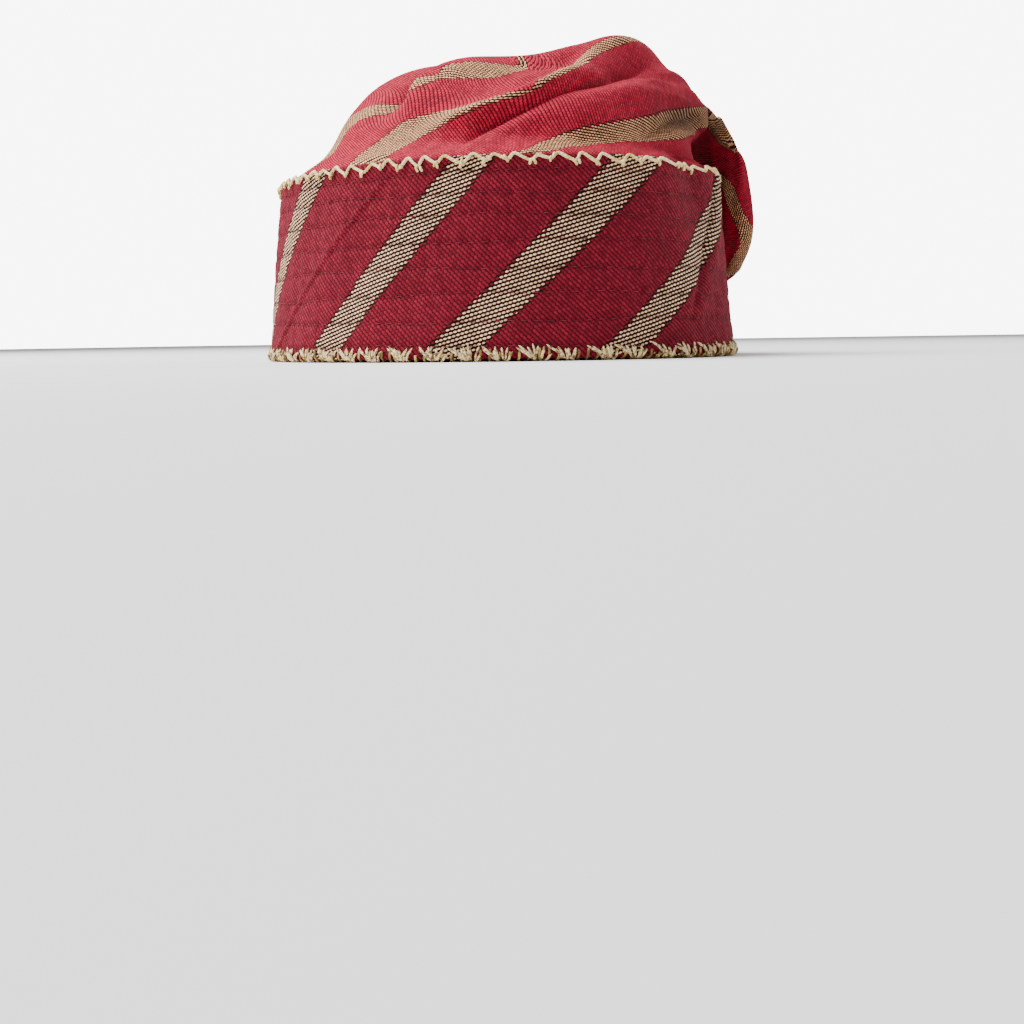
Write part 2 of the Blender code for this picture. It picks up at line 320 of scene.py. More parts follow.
def across_stripes(place, middles, halves, inside, pitch):
    """Distance across the stripes, which is a whole number of pitches in each stripe's middle.

    It rises by inside from one edge of a stripe to its other edge, half a width on each side of its
    middle, and evenly from the edge of one stripe to the next stripe's edge.
    """
    total = np.full(place.shape, -inside / 2)
    for here, half, there, next_half in zip(middles[:-1], halves[:-1], middles[1:], halves[1:]):
        total += inside * np.clip((place - here + half) / (2 * half), 0, 1)
        edge = here + half
        total += (pitch - inside) * np.clip((place - edge) / (there - next_half - edge), 0, 1)
    return total


# The crown's surface


def toward_flap():
    """Unit vectors toward the flap and across it, wearer's left side first."""
    turn = np.radians(FLAP_TURN)
    return np.array([np.sin(turn), -np.cos(turn)]), np.array([np.cos(turn), np.sin(turn)])


def half_depth(high, inset):
    """Distance from the band's middle to its wall in the flap's direction, less the inset."""
    flap, _ = toward_flap()
    wide, long = half_sizes(high)
    return np.hypot((wide - inset) * flap[0], (long - inset) * flap[1])


def first_turn():
    """The turn at which the crown's oval reaches farthest across the flap."""
    _, across = toward_flap()
    wide, long = half_sizes(BAND_HIGH)
    inset = BAND_WALL + GAP
    return np.arctan2((wide - inset) * across[0], -(long - inset) * across[1])


def section_points(turn, way):
    """The crown's plain sections, and the depth of each over the rim's.

    Each is an oval between its near and far point, drawn in all round: by twice the roll along
    most of the way, and not at all at the rim and in the flap.
    """
    column = dict(zip(SECTION_COLUMNS, np.transpose(SECTIONS)))
    over, in_up, along, out_up, share, bow = (
        smooth_rows(way, column["way"], column[name]) for name in SECTION_COLUMNS[1:]
    )
    flap, across = toward_flap()
    inset = BAND_WALL + GAP
    rim = half_depth(BAND_HIGH, inset)
    near_up, far_up = in_up * CROWN_HIGH, out_up * CROWN_HIGH
    near = half_depth(BAND_HIGH + np.minimum(near_up, 0), inset) + over * (inset + FLAP_OFF)
    far = along * rim
    half = np.hypot(near - far, near_up - far_up) / 2
    along_dir, up_dir = (near - far) / 2 / half, (near_up - far_up) / 2 / half
    roll = np.minimum(ROLL, half / 2)
    wide, long = half_sizes(BAND_HIGH)
    inset = inset + dent_depth(turn, BAND_HIGH) * (1 - ease(way / DENT_FADE))
    wide, long = wide - inset - roll, long - inset - roll
    squash = (half - roll) / (rim - roll)
    x, y = wide * np.sin(turn), -long * np.cos(turn)
    dx, dy = wide * np.cos(turn), long * np.sin(turn)
    side = (x * across[0] + y * across[1]) * share
    depth = (x * flap[0] + y * flap[1]) * squash
    side_step = (dx * across[0] + dy * across[1]) * share
    depth_step = (dx * flap[0] + dy * flap[1]) * squash
    step = np.hypot(side_step, depth_step)
    before_flap = ease((FLAP_SWELL[1] - way) / (FLAP_SWELL[1] - FLAP_SWELL[0]))
    drawn_in = roll * (2 * ease(way / RIM_SWELL) * before_flap - 1)
    side = side + drawn_in * depth_step / step
    depth = depth - drawn_in * side_step / step
    out = (near + far) / 2 + depth * along_dir
    up = BAND_HIGH + (near_up + far_up) / 2 + depth * up_dir
    up = up + bow * CROWN_HIGH * (side / (rim * share)) ** 2
    points = [flap[0] * out + across[0] * side, flap[1] * out + across[1] * side, up]
    return np.stack(points, -1), half / rim


def fold_shape(off, keen):
    """A bump that is 1 in the middle: a bell, mixed with a peak like e to the minus distance."""
    peak = np.exp(0.25 - np.sqrt(2.2 * off * off + 0.0625))
    return keen * peak + (1 - keen) * bell(off, 1)


def fold_lift(turn, way):
    """Lift and lean of the folds: each adds its height, and its lean, times its fold_shape."""
    degrees, lift, lean = np.degrees(turn), 0, 0
    for turns, height, before, after, keen_before, keen_after, slide, start, ramp, end in FOLDS:
        off = apart(degrees, smooth_rows(way, WAYS, turns))
        width, keen = (
            np.where(off < 0, *pair) for pair in ((before, after), (keen_before, keen_after))
        )
        shape = fold_shape(off / width, keen)
        shape = shape * (ease((way - start) / ramp) * ease((end - way) / ramp))
        lift += height * shape
        lean += slide * shape
    return lift, lean


def crown_points(turn, way):
    """The crown with its folds.

    The folds lift the plain sections along their normal and move the cloth round by their lean, so
    that a crest hangs over its hollow.
    """
    lift, lean = fold_lift(turn, way)
    moved = turn + np.radians(lean) * sizes().fold_share
    points, depth_share = section_points(moved, way)
    before, after = (section_points(moved + step, way)[0] for step in (-TINY_TURN, TINY_TURN))
    round_it = after - before
    low, high = (np.clip(way + step, 0, 1) for step in (-TINY_WAY, TINY_WAY))
    along_it = section_points(moved, high)[0] - section_points(moved, low)[0]
    run = np.linalg.norm(round_it, axis=-1)
    room = np.minimum(1, run / run[0] / SHORT_SHARE)
    lift = lift * CROWN_HIGH * sizes().fold_share * np.minimum(1, depth_share / FLAT_SHARE)
    lift = (lift + unevenness(turn, way) * ease(way / UNEVEN_RAMP)) * room
    return points + unit(np.cross(round_it, along_it)) * lift[..., None]


def unevenness(turn, way):
    """Slight waves of slack cloth: sines of turn and way, with gathers that fade off the rim."""
    slack = 0.0006 * np.sin(7 * turn + 9 * way) * np.sin(17 * way + 2 * turn)
    slack += 0.0003 * np.sin(19 * turn - 21 * way + 1.3)
    gathers = 0.0006 * np.sin(52 * turn + 3 * np.sin(5 * turn)) * np.exp(-way / 0.05)
    return slack + gathers


# Meshes

TUBE_SIDES = dict(rim_cord=8, rim_knots=6, edge_bunches=7, edge_whipping=6, quilting_thread=5)
END_THIN = 0.02  # least square of a thread's thickness at its ends, over its full one


def signed_volume(points, corners):
    """Six times the volume inside the faces: the sum of the triple products of their corners."""
    a, b, c, d = (points[corners[:, k]] for k in range(4))
    return np.einsum("ij,ij->", a, np.cross(b, c)) + np.einsum("ij,ij->", a, np.cross(c, d))


def lay_mesh(name, points, cloth, material, round_rows=False, round_columns=False, caps=False):
    """Lays a mesh over grids of points: one quad between each four neighbours, facing outwards.

    points has the shape (grids, rows, columns, 3). cloth is the UV map in metres on the same grids,
    with one row or column more where the grid closes on itself.
    """
    grids, rows, columns = points.shape[:3]
    r = np.arange(rows if round_rows else rows - 1)[:, None]
    c = np.arange(columns if round_columns else columns - 1)[None, :]
    steps = ((0, 0), (0, 1), (1, 1), (1, 0))
    quads = np.stack([(r + i) % rows * columns + (c + j) % columns for i, j in steps], -1)
    uv_quads = np.stack([(r + i) * cloth.shape[2] + c + j for i, j in steps], -1)
    grid = np.arange(grids)[:, None, None]
    corners = (quads.reshape(-1, 4) + grid * rows * columns).reshape(-1, 4)
    uv_corners = uv_quads.reshape(-1, 4) + grid * cloth.shape[1] * cloth.shape[2]
    uv_corners = uv_corners.reshape(-1, 4)
    flat = points.reshape(-1, 3)
    inside_out = signed_volume(flat, corners) < 0
    if inside_out:
        corners, uv_corners = corners[:, ::-1], uv_corners[:, ::-1]
    uv = cloth.reshape(-1, 2)[uv_corners].reshape(-1, 2)
    loops, totals = corners.ravel(), np.full(len(corners), 4)
    if caps:
        ring = np.arange(columns)[None, :]
        first = np.arange(grids)[:, None] * rows * columns
        ends = [first + ring[:, ::-1], first + (rows - 1) * columns + ring]
        if inside_out:
            ends = [end[:, ::-1] for end in ends]
        loops = np.concatenate([loops] + [end.ravel() for end in ends])
        totals = np.concatenate([totals, np.full(2 * grids, columns)])
        uv = np.concatenate([uv, np.zeros((2 * grids * columns, 2))])
    mesh = bpy.data.meshes.new(name)
    mesh.vertices.add(len(flat))
    mesh.vertices.foreach_set("co", (flat + MIDDLE).astype(np.float32).ravel())
    mesh.loops.add(len(loops))
    mesh.loops.foreach_set("vertex_index", loops.astype(np.int32))
    mesh.polygons.add(len(totals))
    starts = np.concatenate([[0], np.cumsum(totals)[:-1]])
    mesh.polygons.foreach_set("loop_start", starts.astype(np.int32))
    layer = mesh.uv_layers.new(name=UV_NAME)
    layer.uv.foreach_set("vector", uv.astype(np.float32).ravel())
    mesh.update(calc_edges=True)
    mesh.validate()
    mesh.shade_smooth()
    mesh.materials.append(material)
    piece = bpy.data.objects.new(name, mesh)
    bpy.context.scene.collection.objects.link(piece)
    return piece


def mark(piece, name, values):
    """Keeps one number for each point of the piece's mesh."""
    layer = piece.data.attributes.new(name, "FLOAT", "POINT")
    layer.data.foreach_set("value", np.asarray(values, np.float32).ravel())


def lay_tubes(name, paths, radius, guide, material):
    """Round tubes along paths: each ring stands square to the path's own direction.

    paths has the shape (tubes, points, 3), or (points, 3) for one path that closes on itself, and
    radius and guide go with it. The ring's axes are the guide made square to the path, and the
    cross product of both. The UV is the length along the tube and the distance round it.
    """
    sides, closed = TUBE_SIDES[name], paths.ndim == 2
    if closed:
        paths, radius, guide = paths[None], radius[None], guide[None]
        ahead = np.roll(paths, -1, 1) - np.roll(paths, 1, 1)
        around = np.concatenate([paths, paths[:, :1]], 1)
    else:
        ahead, around = np.gradient(paths, axis=1), paths
    ahead = unit(ahead)
    axis_a = unit(guide - ahead * np.sum(guide * ahead, -1, keepdims=True))
    axis_b = np.cross(ahead, axis_a)
    angle = np.linspace(0, FULL_TURN, sides, endpoint=False)[:, None]
    ring = np.cos(angle) * axis_a[:, :, None] + np.sin(angle) * axis_b[:, :, None]
    points = paths[:, :, None] + ring * radius[:, :, None, None]
    steps = np.linalg.norm(np.diff(around, axis=1), axis=-1)
    length = np.concatenate([np.zeros((len(paths), 1)), np.cumsum(steps, 1)], 1)[:, :, None]
    share = np.linspace(0, FULL_TURN, sides + 1)
    cloth = np.stack([length + 0 * share, radius.max() * share + 0 * length], -1)
    return lay_mesh(name, points, cloth, material, closed, True, not closed)


def round_ends(count, thick):
    """Radius along a short thread of so many points: full, and drawn in at both ends."""
    t = np.linspace(-1, 1, count)
    return thick / 2 * np.sqrt(np.maximum(1 - t**8, END_THIN))


# Materials

NUMBER, VECTOR, COLOUR = "NodeSocketFloat", "NodeSocketVector", "NodeSocketColor"
STEP_ALONG, STEP_ACROSS = 0.00141, 0.00077  # the weave's steps along and across the stripes
UNDER_MARGIN = 1.1  # steps by which the dark ground goes past a stripe's edge
SHADE_SPAN = (0.5, 0.75)  # how far noise brightens a thread or patch, and its least
CLOTH_RELIEF = 0.0003
PLY_RELIEF = 0.0002
LAY = 0.4  # length of one turn of a thread's plies, as a share of its girth
# painted shade between a thread's twisted plies
PLY_PAINTED_SHADE = (0.30, 0.8)  # how far a thread's plies brighten it, and its least
PATCH_EDGES = (0.46, 0.60)  # noise at which a thread's second colour starts and is full
THREAD_LOOKS = {
    # name: (how metallic, how rough, scale of the patches of the second colour)
    "rim cord": (0.0, 0.75, 260.0),
    "knot thread": (0.25, 0.55, 260.0),
    "bunch thread": (0.1, 0.65, 800.0),
    "whipping thread": (0.2, 0.6, 260.0),
    "quilting thread": (0.0, 0.8, 260.0),
}
THREAD_EDGES = (0.1, 0.75)  # height at which a raised thread of the weave starts and is full
DUST = (60.0, 3.0, 0.6)  # scale, detail and roughness of the patches on the cloth
FUZZ = (3000.0, 0.35)  # scale and height of the cloth's fuzz, over the weave's height


def fill(tree, node, values):
    """Puts a number, a colour or another node's output on each of the named inputs."""
    for key, value in values.items():
        if isinstance(value, bpy.types.NodeSocket):
            tree.links.new(value, node.inputs[key])
        else:
            node.inputs[key].default_value = value


def add_node(tree, kind, values=None, **settings):
    node = tree.nodes.new(kind)
    for name, value in settings.items():
        setattr(node, name, value)
    fill(tree, node, values or {})
    return node


def maths(tree, operation, *values, clamp=False):
    values = dict(enumerate(values))
    node = add_node(tree, "ShaderNodeMath", values, operation=operation, use_clamp=clamp)
    return node.outputs[0]


def vector_maths(tree, operation, *values):
    values = dict(enumerate(values))
    return add_node(tree, "ShaderNodeVectorMath", values, operation=operation).outputs[0]


def split(tree, vector):
    """The X, Y and Z of a vector."""
    return add_node(tree, "ShaderNodeSeparateXYZ", {0: vector}).outputs


def join(tree, *parts):
    return add_node(tree, "ShaderNodeCombineXYZ", dict(enumerate(parts))).outputs[0]


def mix_colour(tree, share, first, second, blend="MIX"):
    values = {0: share, 6: first, 7: second}
    node = add_node(tree, "ShaderNodeMix", values, data_type="RGBA", blend_type=blend)
    return node.outputs[2]


def mix_value(tree, share, first, second):
    values = {0: share, 2: first, 3: second}
    return add_node(tree, "ShaderNodeMix", values, data_type="FLOAT").outputs[0]


def noise(tree, vector, scale, detail=2.0, rough=0.5):
    values = {"Vector": vector, "Scale": scale, "Detail": detail, "Roughness": rough}
    return add_node(tree, "ShaderNodeTexNoise", values).outputs["Fac"]


def between_edges(tree, value, edges, **settings):
    """How far a value is on its way from the first edge to the second, 0 before and 1 past it."""
    values = {"Value": value, "From Min": edges[0], "From Max": edges[1]}
    return add_node(tree, "ShaderNodeMapRange", values, **settings).outputs[0]


def attribute(tree, name):
    """The number that the mesh keeps under the name."""
    return add_node(tree, "ShaderNodeAttribute", attribute_name=name).outputs["Fac"]


def bump(tree, height, strength, distance):
    values = {"Height": height, "Strength": strength, "Distance": distance}
    return add_node(tree, "ShaderNodeBump", values).outputs[0]


def new_group(name, inputs, outputs):
    """A shader node group with named sockets of the given types, and its inner ends."""
    group = bpy.data.node_groups.new(name, "ShaderNodeTree")
    for direction, sockets in (("INPUT", inputs), ("OUTPUT", outputs)):
        for label, kind in sockets.items():
            group.interface.new_socket(name=label, in_out=direction, socket_type=kind)
    given = group.nodes.new("NodeGroupInput").outputs
    return group, given, group.nodes.new("NodeGroupOutput")


def numbers(*labels):
    return dict.fromkeys(labels, NUMBER)


def shared_group(name, make):
    return bpy.data.node_groups.get(name) or make(name)


def float_weave(name):
    """Raised threads of a weave, as ovals in cells of two steps by two, and again one step on.

    An oval's height is the root of 1 - ((x + lean y) / half along)^2 - ((y - slant x) / half
    across)^2. The higher of the two ovals at a point counts, and its middle and shade are given.
    """
    settings = numbers("Step along", "Step across", "Half along", "Half across", "Lean", "Slant")
    group, given, end = new_group(
        name, {"Cloth": VECTOR, **settings}, numbers("Height", "Across", "Shade")
    )
    steps = join(group, given["Step along"], given["Step across"], 1)
    cell = vector_maths(group, "DIVIDE", given["Cloth"], steps)
    found = []
    for offset in (0.0, 1.0):
        moved = vector_maths(group, "SUBTRACT", cell, (offset, offset, 0))
        halved = vector_maths(group, "MULTIPLY_ADD", moved, (0.5, 0.5, 0), (0.5, 0.5, 0))
        whole = vector_maths(group, "FLOOR", halved)
        middle = vector_maths(group, "MULTIPLY_ADD", whole, (2, 2, 0), (offset, offset, 0))
        off = split(group, vector_maths(group, "SUBTRACT", cell, middle))
        x = maths(group, "MULTIPLY_ADD", off[1], given["Lean"], off[0])
        x = maths(group, "DIVIDE", x, given["Half along"])
        y = maths(group, "SUBTRACT", off[1], maths(group, "MULTIPLY", off[0], given["Slant"]))
        y = maths(group, "DIVIDE", y, given["Half across"])
        far = maths(group, "MULTIPLY_ADD", x, x, maths(group, "MULTIPLY", y, y))
        height = maths(group, "SQRT", maths(group, "SUBTRACT", 1.0, far, clamp=True))
        values = {"Vector": middle}
        shade = add_node(group, "ShaderNodeTexWhiteNoise", values, noise_dimensions="2D")
        found.append((height, split(group, middle)[1], shade.outputs["Value"]))
    second = maths(group, "GREATER_THAN", found[1][0], found[0][0])
    height, across, shade = (mix_value(group, second, *pair) for pair in zip(*found))
    across = maths(group, "MULTIPLY", across, given["Step across"])
    fill(group, end, {"Height": height, "Across": across, "Shade": shade})
    return group


def in_stripe(tree, off, half):
    """1 where the distance off the nearest stripe's middle is under its half width, or else 0."""
    return maths(tree, "LESS_THAN", maths(tree, "ABSOLUTE", off), half)


def striped_weave(name):
    """The cap's cloth: each raised thread is wholly red or wholly cream, over a dark ground."""
    steps = numbers("Step along", "Step across")
    settings = numbers("Times closer", "Off the stripe", "Stripe half", "Stripe fullness")
    shades = dict.fromkeys(("Red thread", "Red ground", "Cream thread", "Dark ground"), COLOUR)
    group, given, end = new_group(
        name,
        {"Cloth": VECTOR, **steps, **settings, **shades},
        {"Color": COLOUR, **numbers("Height", "Cream")},
    )
    cloth, off, half = given["Cloth"], given["Off the stripe"], given["Stripe half"]
    margin = maths(group, "MULTIPLY", given["Step across"], UNDER_MARGIN)
    under = in_stripe(group, off, maths(group, "ADD", half, margin))
    ovals = {
        # label: (of the red threads, of the stripes' threads)
        "Half along": (0.46, 0.60),
        "Half across": (1.25, given["Stripe fullness"]),
        "Lean": (0.0, 0.298),
        "Slant": (0.0, 1.0),
    }
    values = {label: mix_value(group, under, *pair) for label, pair in ovals.items()}
    closer = join(group, given["Times closer"], 1, 1)
    values["Cloth"] = vector_maths(group, "MULTIPLY", cloth, closer)
    values.update({label: given[label] for label in steps})
    weave = shared_group("float weave", float_weave)
    threads = add_node(group, "ShaderNodeGroup", values, node_tree=weave)
    height, shade, across = (threads.outputs[label] for label in ("Height", "Shade", "Across"))
    to_middle = maths(group, "SUBTRACT", across, split(group, cloth)[1])
    cream = in_stripe(group, maths(group, "ADD", off, to_middle), half)
    thread = mix_colour(group, cream, given["Red thread"], given["Cream thread"])
    ground = mix_colour(group, under, given["Red ground"], given["Dark ground"])
    bright = maths(group, "MULTIPLY_ADD", shade, *SHADE_SPAN)
    thread = mix_colour(group, 1.0, thread, bright, "MULTIPLY")
    raised = between_edges(group, height, THREAD_EDGES, interpolation_type="SMOOTHSTEP")
    colour = mix_colour(group, raised, ground, thread)
    patches = maths(group, "MULTIPLY_ADD", noise(group, cloth, *DUST), *SHADE_SPAN)
    colour = mix_colour(group, 1.0, colour, patches, "MULTIPLY")
    fill(group, end, {"Color": colour, "Height": height, "Cream": cream})
    return group


def twisted_ply(name):
    """Height of a twisted thread: a sine of the length along it and the distance round it."""
    group, given, end = new_group(
        name, {"Cloth": VECTOR, **numbers("Lay", "Girth")}, numbers("Height")
    )
    place = split(group, given["Cloth"])
    along = maths(group, "DIVIDE", place[0], given["Lay"])
    around = maths(group, "DIVIDE", place[1], given["Girth"])
    turns = maths(group, "ADD", along, maths(group, "MULTIPLY", around, 2.0))
    wave = maths(group, "SINE", maths(group, "MULTIPLY", turns, FULL_TURN))
    fill(group, end, {"Height": maths(group, "MULTIPLY_ADD", wave, 0.5, 0.5)})
    return group


def start_material(name):
    """A new material, its node tree, its shader and the place on the cloth."""
    material = bpy.data.materials.new(name)
    material.use_nodes = True
    tree = material.node_tree
    where = add_node(tree, "ShaderNodeUVMap", uv_map=UV_NAME).outputs[0]
    return material, tree, tree.nodes["Principled BSDF"], where


def off_stripe(tree):
    """Distance off the nearest stripe's middle, from the sine and cosine kept on the mesh."""
    turn = maths(tree, "ARCTAN2", *(attribute(tree, name) for name in STRIPE_WAVES))
    return maths(tree, "MULTIPLY", turn, sizes().stripe_pitch / FULL_TURN)


def cloth_material(name, steps, red, cream, fullness, shades):
    """Striped cloth: the weave gives colour and height, and the shade kept on the mesh darkens it.

    On the crown and in the band's crease that shade is painted shade.
    """
    material, tree, shader, where = start_material(name)
    colour = colours()
    halvings = maths(tree, "FLOOR", attribute(tree, HALVINGS))
    values = {
        "Cloth": where,
        "Off the stripe": off_stripe(tree),
        "Times closer": maths(tree, "POWER", 2.0, halvings),
        "Step along": steps[0],
        "Step across": steps[1],
        "Stripe half": sizes().stripe_width / 2,
        "Stripe fullness": fullness,
        "Red thread": (*red, 1),
        "Red ground": (*colour.red_ground, 1),
        "Cream thread": (*cream, 1),
        "Dark ground": (*colour.dark_ground, 1),
    }
    group = shared_group("striped weave", striped_weave)
    weave = add_node(tree, "ShaderNodeGroup", values, node_tree=group)
    dark = mix_value(tree, weave.outputs["Cream"], *shades)
    shaded = maths(tree, "MULTIPLY_ADD", attribute(tree, SHADE), dark, 1.0)
    fuzz = noise(tree, where, FUZZ[0])
    height = maths(tree, "MULTIPLY_ADD", fuzz, FUZZ[1], weave.outputs["Height"])
    fill(tree, shader, {
        "Base Color": mix_colour(tree, 1.0, weave.outputs["Color"], shaded, "MULTIPLY"),
        "Roughness": 0.85,
        "Specular IOR Level": 0.08,
        "Sheen Weight": 0.02,
        "Sheen Roughness": 0.4,
        "Normal": bump(tree, height, 1.0, CLOTH_RELIEF),
    })
    return material


def thread_material(name, colour, second, thick):
    """Twisted thread: its plies as bumps, darker between them, with patches of a second colour."""
    metal, rough, patches = THREAD_LOOKS[name]
    material, tree, shader, where = start_material(name)
    girth = np.pi * thick
    values = {"Cloth": where, "Lay": girth * LAY, "Girth": girth}
    group = shared_group("twisted ply", twisted_ply)
    height = add_node(tree, "ShaderNodeGroup", values, node_tree=group).outputs["Height"]
    spot = add_node(tree, "ShaderNodeTexCoord").outputs["Object"]
    patch = between_edges(tree, noise(tree, spot, patches), PATCH_EDGES)
    base = mix_colour(tree, patch, (*colour, 1), (*second, 1))
    # painted shade between the plies
    shaded = maths(tree, "MULTIPLY_ADD", height, *PLY_PAINTED_SHADE)
    fill(tree, shader, {
        "Base Color": mix_colour(tree, 1.0, base, shaded, "MULTIPLY"),
        "Metallic": metal,
        "Roughness": rough,
        "Sheen Weight": 0.03,
        "Normal": bump(tree, height, 0.8, PLY_RELIEF),
    })
    return material


def whole_step(jump, step):
    """The length nearest to step of which an even number makes the jump."""
    return abs(jump) / (2 * round(abs(jump) / step / 2))


def mark_stripes(piece, across, rows):
    """Keeps the place across the stripes, as the sine and cosine of its share of a pitch."""
    turn = FULL_TURN * across[:, :-1] / sizes().stripe_pitch
    for name, wave in zip(STRIPE_WAVES, (np.sin(turn), np.cos(turn))):
        mark(piece, name, wave[:rows])


# The band

BAND_COLUMNS = 560
BAND_FACE_ROWS = 96
BAND_INSIDE_ROWS = 12
RIM_ROWS = 7
BAND_LIFT = 0.0009  # the thread under the bottom rim lifts the cloth off the floor
BAND_START = np.pi / 2
RIM_CALM = 0.002  # height under the top rim over which the relief fades
BAND_STRIPE_ROOM = 1.35  # breadth in which a stripe keeps its own scale, over the stripe's width
BAND_LOOK = (0.60, (-0.12, -0.6))  # fullness of the stripes, full shade of red and of cream cloth
# Widths of the marks on the face, in metres, and the distances round between pulls of the thread
GROOVE_WIDE = 0.0011
SEWN_WIDE = 0.0005
PULL_PITCH = 0.0045
PUFFS = (0.35, 0.0085, 260.0, 190.0)  # share of the quilting's depth, length, slant, waves up
SWELLS = (0.5, 0.031, -90.0)
JOIN_RIDGE = (0.0005, 0.0016)  # height and width
JOIN_SEAM = (0.0022, 0.0004, 0.0007)  # distance past the ridge, depth and width
JOIN_SHADE = 0.3
CREASE_START = (0.010, 0.015)  # height at which it begins, and over which it grows
CREASE_SWELL = (0.0065, 0.0016, 0.006)  # distance past the crease, height and width
CREASE_GROOVE = (0.0011, 0.0016)
# painted shade along the crease: its strength and width
CREASE_PAINTED_SHADE = (0.8, 0.0009)


def band_profile():
    """Inset, height and distance along the wall's section: up the face, over the rim, down inside.

    The rims are half circles of the wall's thickness.
    """
    half = BAND_WALL / 2
    low, top = BAND_LIFT + half, BAND_HIGH - half
    face = np.linspace(low, top, BAND_FACE_ROWS)
    inside = np.linspace(top, low, BAND_INSIDE_ROWS)
    angle = np.linspace(0, np.pi, RIM_ROWS + 2)[1:-1]
    inset = np.concatenate(
        [0 * face, half - half * np.cos(angle), 0 * inside + BAND_WALL, half + half * np.cos(angle)]
    )
    high = np.concatenate([face, top + half * np.sin(angle), inside, low - half * np.sin(angle)])
    steps = np.hypot(np.diff(inset, append=inset[0]), np.diff(high, append=high[0]))
    return inset, high, low + np.concatenate([[0], np.cumsum(steps)])


def quilt_lines(turn):
    """Heights of the sewn rows: each keeps its share of the band's height and wanders a little."""
    rows = BAND_HIGH * np.array(QUILT_ROWS)[:, None]
    phase = 2.4 * np.arange(len(QUILT_ROWS))[:, None]
    turn = turn[None, :]
    return rows + 0.0005 * np.sin(3 * turn + phase) + 0.0003 * np.sin(11 * turn - 2 * phase)


def band_relief(turn, high):
    """The face's relief and shade: grooves at the rows, puffs between, ridges at the joins.

    Each mark is a bell of the distance off its line, and the puffs and swells are sines. A groove
    is deeper where the thread pulls. Painted shade lies along the crease.
    """
    depth = sizes().quilting_depth
    distance = distance_round(turn)
    relief, shade = np.zeros(high.shape), np.zeros(high.shape)
    for row, line in enumerate(quilt_lines(turn[0])):
        pull = 0.75 + 0.25 * np.sin(FULL_TURN * distance / PULL_PITCH + row)
        relief -= depth * bell(high - line, GROOVE_WIDE) * pull
        shade = np.maximum(shade, bell(high - line, SEWN_WIDE) * (0.4 + 0.6 * pull))
    share, length, slant, up = PUFFS
    puffs = np.sin(FULL_TURN * distance / length + slant * high) * np.sin(up * high)
    relief += share * depth * puffs
    share, length, slant = SWELLS
    relief += share * depth * np.sin(FULL_TURN * distance / length + slant * high)

    def off_line(middle, lean):
        return distance - middle - lean * (high - BAND_HIGH / 2)

    for join_line in BAND_JOINS:
        off = off_line(*join_line)
        past, deep, wide = JOIN_SEAM
        relief += JOIN_RIDGE[0] * bell(off, JOIN_RIDGE[1]) - deep * bell(off - past, wide)
        shade = np.maximum(shade, JOIN_SHADE * bell(off - past, SEWN_WIDE))
    # The crease: a swell past it, a groove in it and painted shade along it
    off = off_line(*BAND_CREASE)
    over = ease((high - CREASE_START[0]) / CREASE_START[1])
    past, tall, wide = CREASE_SWELL
    relief += over * tall * bell(off - past, wide)
    relief -= over * CREASE_GROOVE[0] * bell(off, CREASE_GROOVE[1])
    return relief, np.maximum(shade, CREASE_PAINTED_SHADE[0] * over * bell(off, CREASE_PAINTED_SHADE[1]))


def face_point(turn, high, proud):
    """A point that stands so far off the band's face at each turn and height."""
    return wall_points(turn, high, 0) + outward(turn) * proud[..., None]


def build_band():
    inset, high, along = band_profile()
    turn = BAND_START + np.linspace(0, FULL_TURN, BAND_COLUMNS, endpoint=False)[None, :]
    turn = turn + 0 * high[:, None]
    tall, deep = high[:, None] + 0 * turn, inset[:, None] + 0 * turn
    relief, shade = band_relief(turn, tall)
    on_face = (1 - ease(deep / (BAND_WALL / 2))) * ease((BAND_HIGH - tall) / RIM_CALM)
    points = wall_points(turn, tall, deep) + outward(turn) * (relief * on_face)[..., None]

    size, colour = sizes(), colours()
    turn = BAND_START + np.linspace(0, FULL_TURN, BAND_COLUMNS + 1)[None, :] + 0 * along[:, None]
    place, up = distance_round(turn), along[:, None] + 0 * turn
    full = LENGTH_ROUND
    rise, run = np.sin(np.radians(BAND_STRIPE_CLIMB)), np.cos(np.radians(BAND_STRIPE_CLIMB))
    room = size.stripe_width * BAND_STRIPE_ROOM
    middles, halves = [], []
    for lap in LAPS:
        for middle, lean, low_width, top_width in BAND_STRIPES:
            middles.append(middle + lap * full + lean * (up - BAND_HIGH / 2))
            width = low_width + (top_width - low_width) * np.clip(up / BAND_HIGH, 0, 1)
            halves.append(room / 2 / rise * width)
    across = across_stripes(place, middles, halves, room, size.stripe_pitch)
    cloth = np.stack([place * run + up * rise, place * rise - up * run], -1)
    steps = whole_step(full * run, STEP_ALONG), whole_step(full * rise, STEP_ACROSS)
    material = cloth_material("band cloth", steps, colour.band_red, colour.cream_thread, *BAND_LOOK)
    band = lay_mesh("quilted_band", points[None], cloth[None], material, True, True)
    mark(band, SHADE, shade * on_face)
    mark_stripes(band, across, len(points))
    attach(band, "root")
    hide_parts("band")


# The crown

CROWN_COLUMNS = 288
CROWN_ROWS = 150
FOOT_ROWS = 8
END_ROWS = 4
BUSY_TURN = 75.0  # degrees off the first turn past which the columns stand closer
CROWN_STRIPE_ROOM = 1.2
CROWN_FINER = (0.62, 0.74)  # steps of the crown's weave over the band's
# fullness of the stripes, and how far a full painted shade darkens red and cream cloth
CROWN_LOOK = (0.66, (-0.62, -0.78))
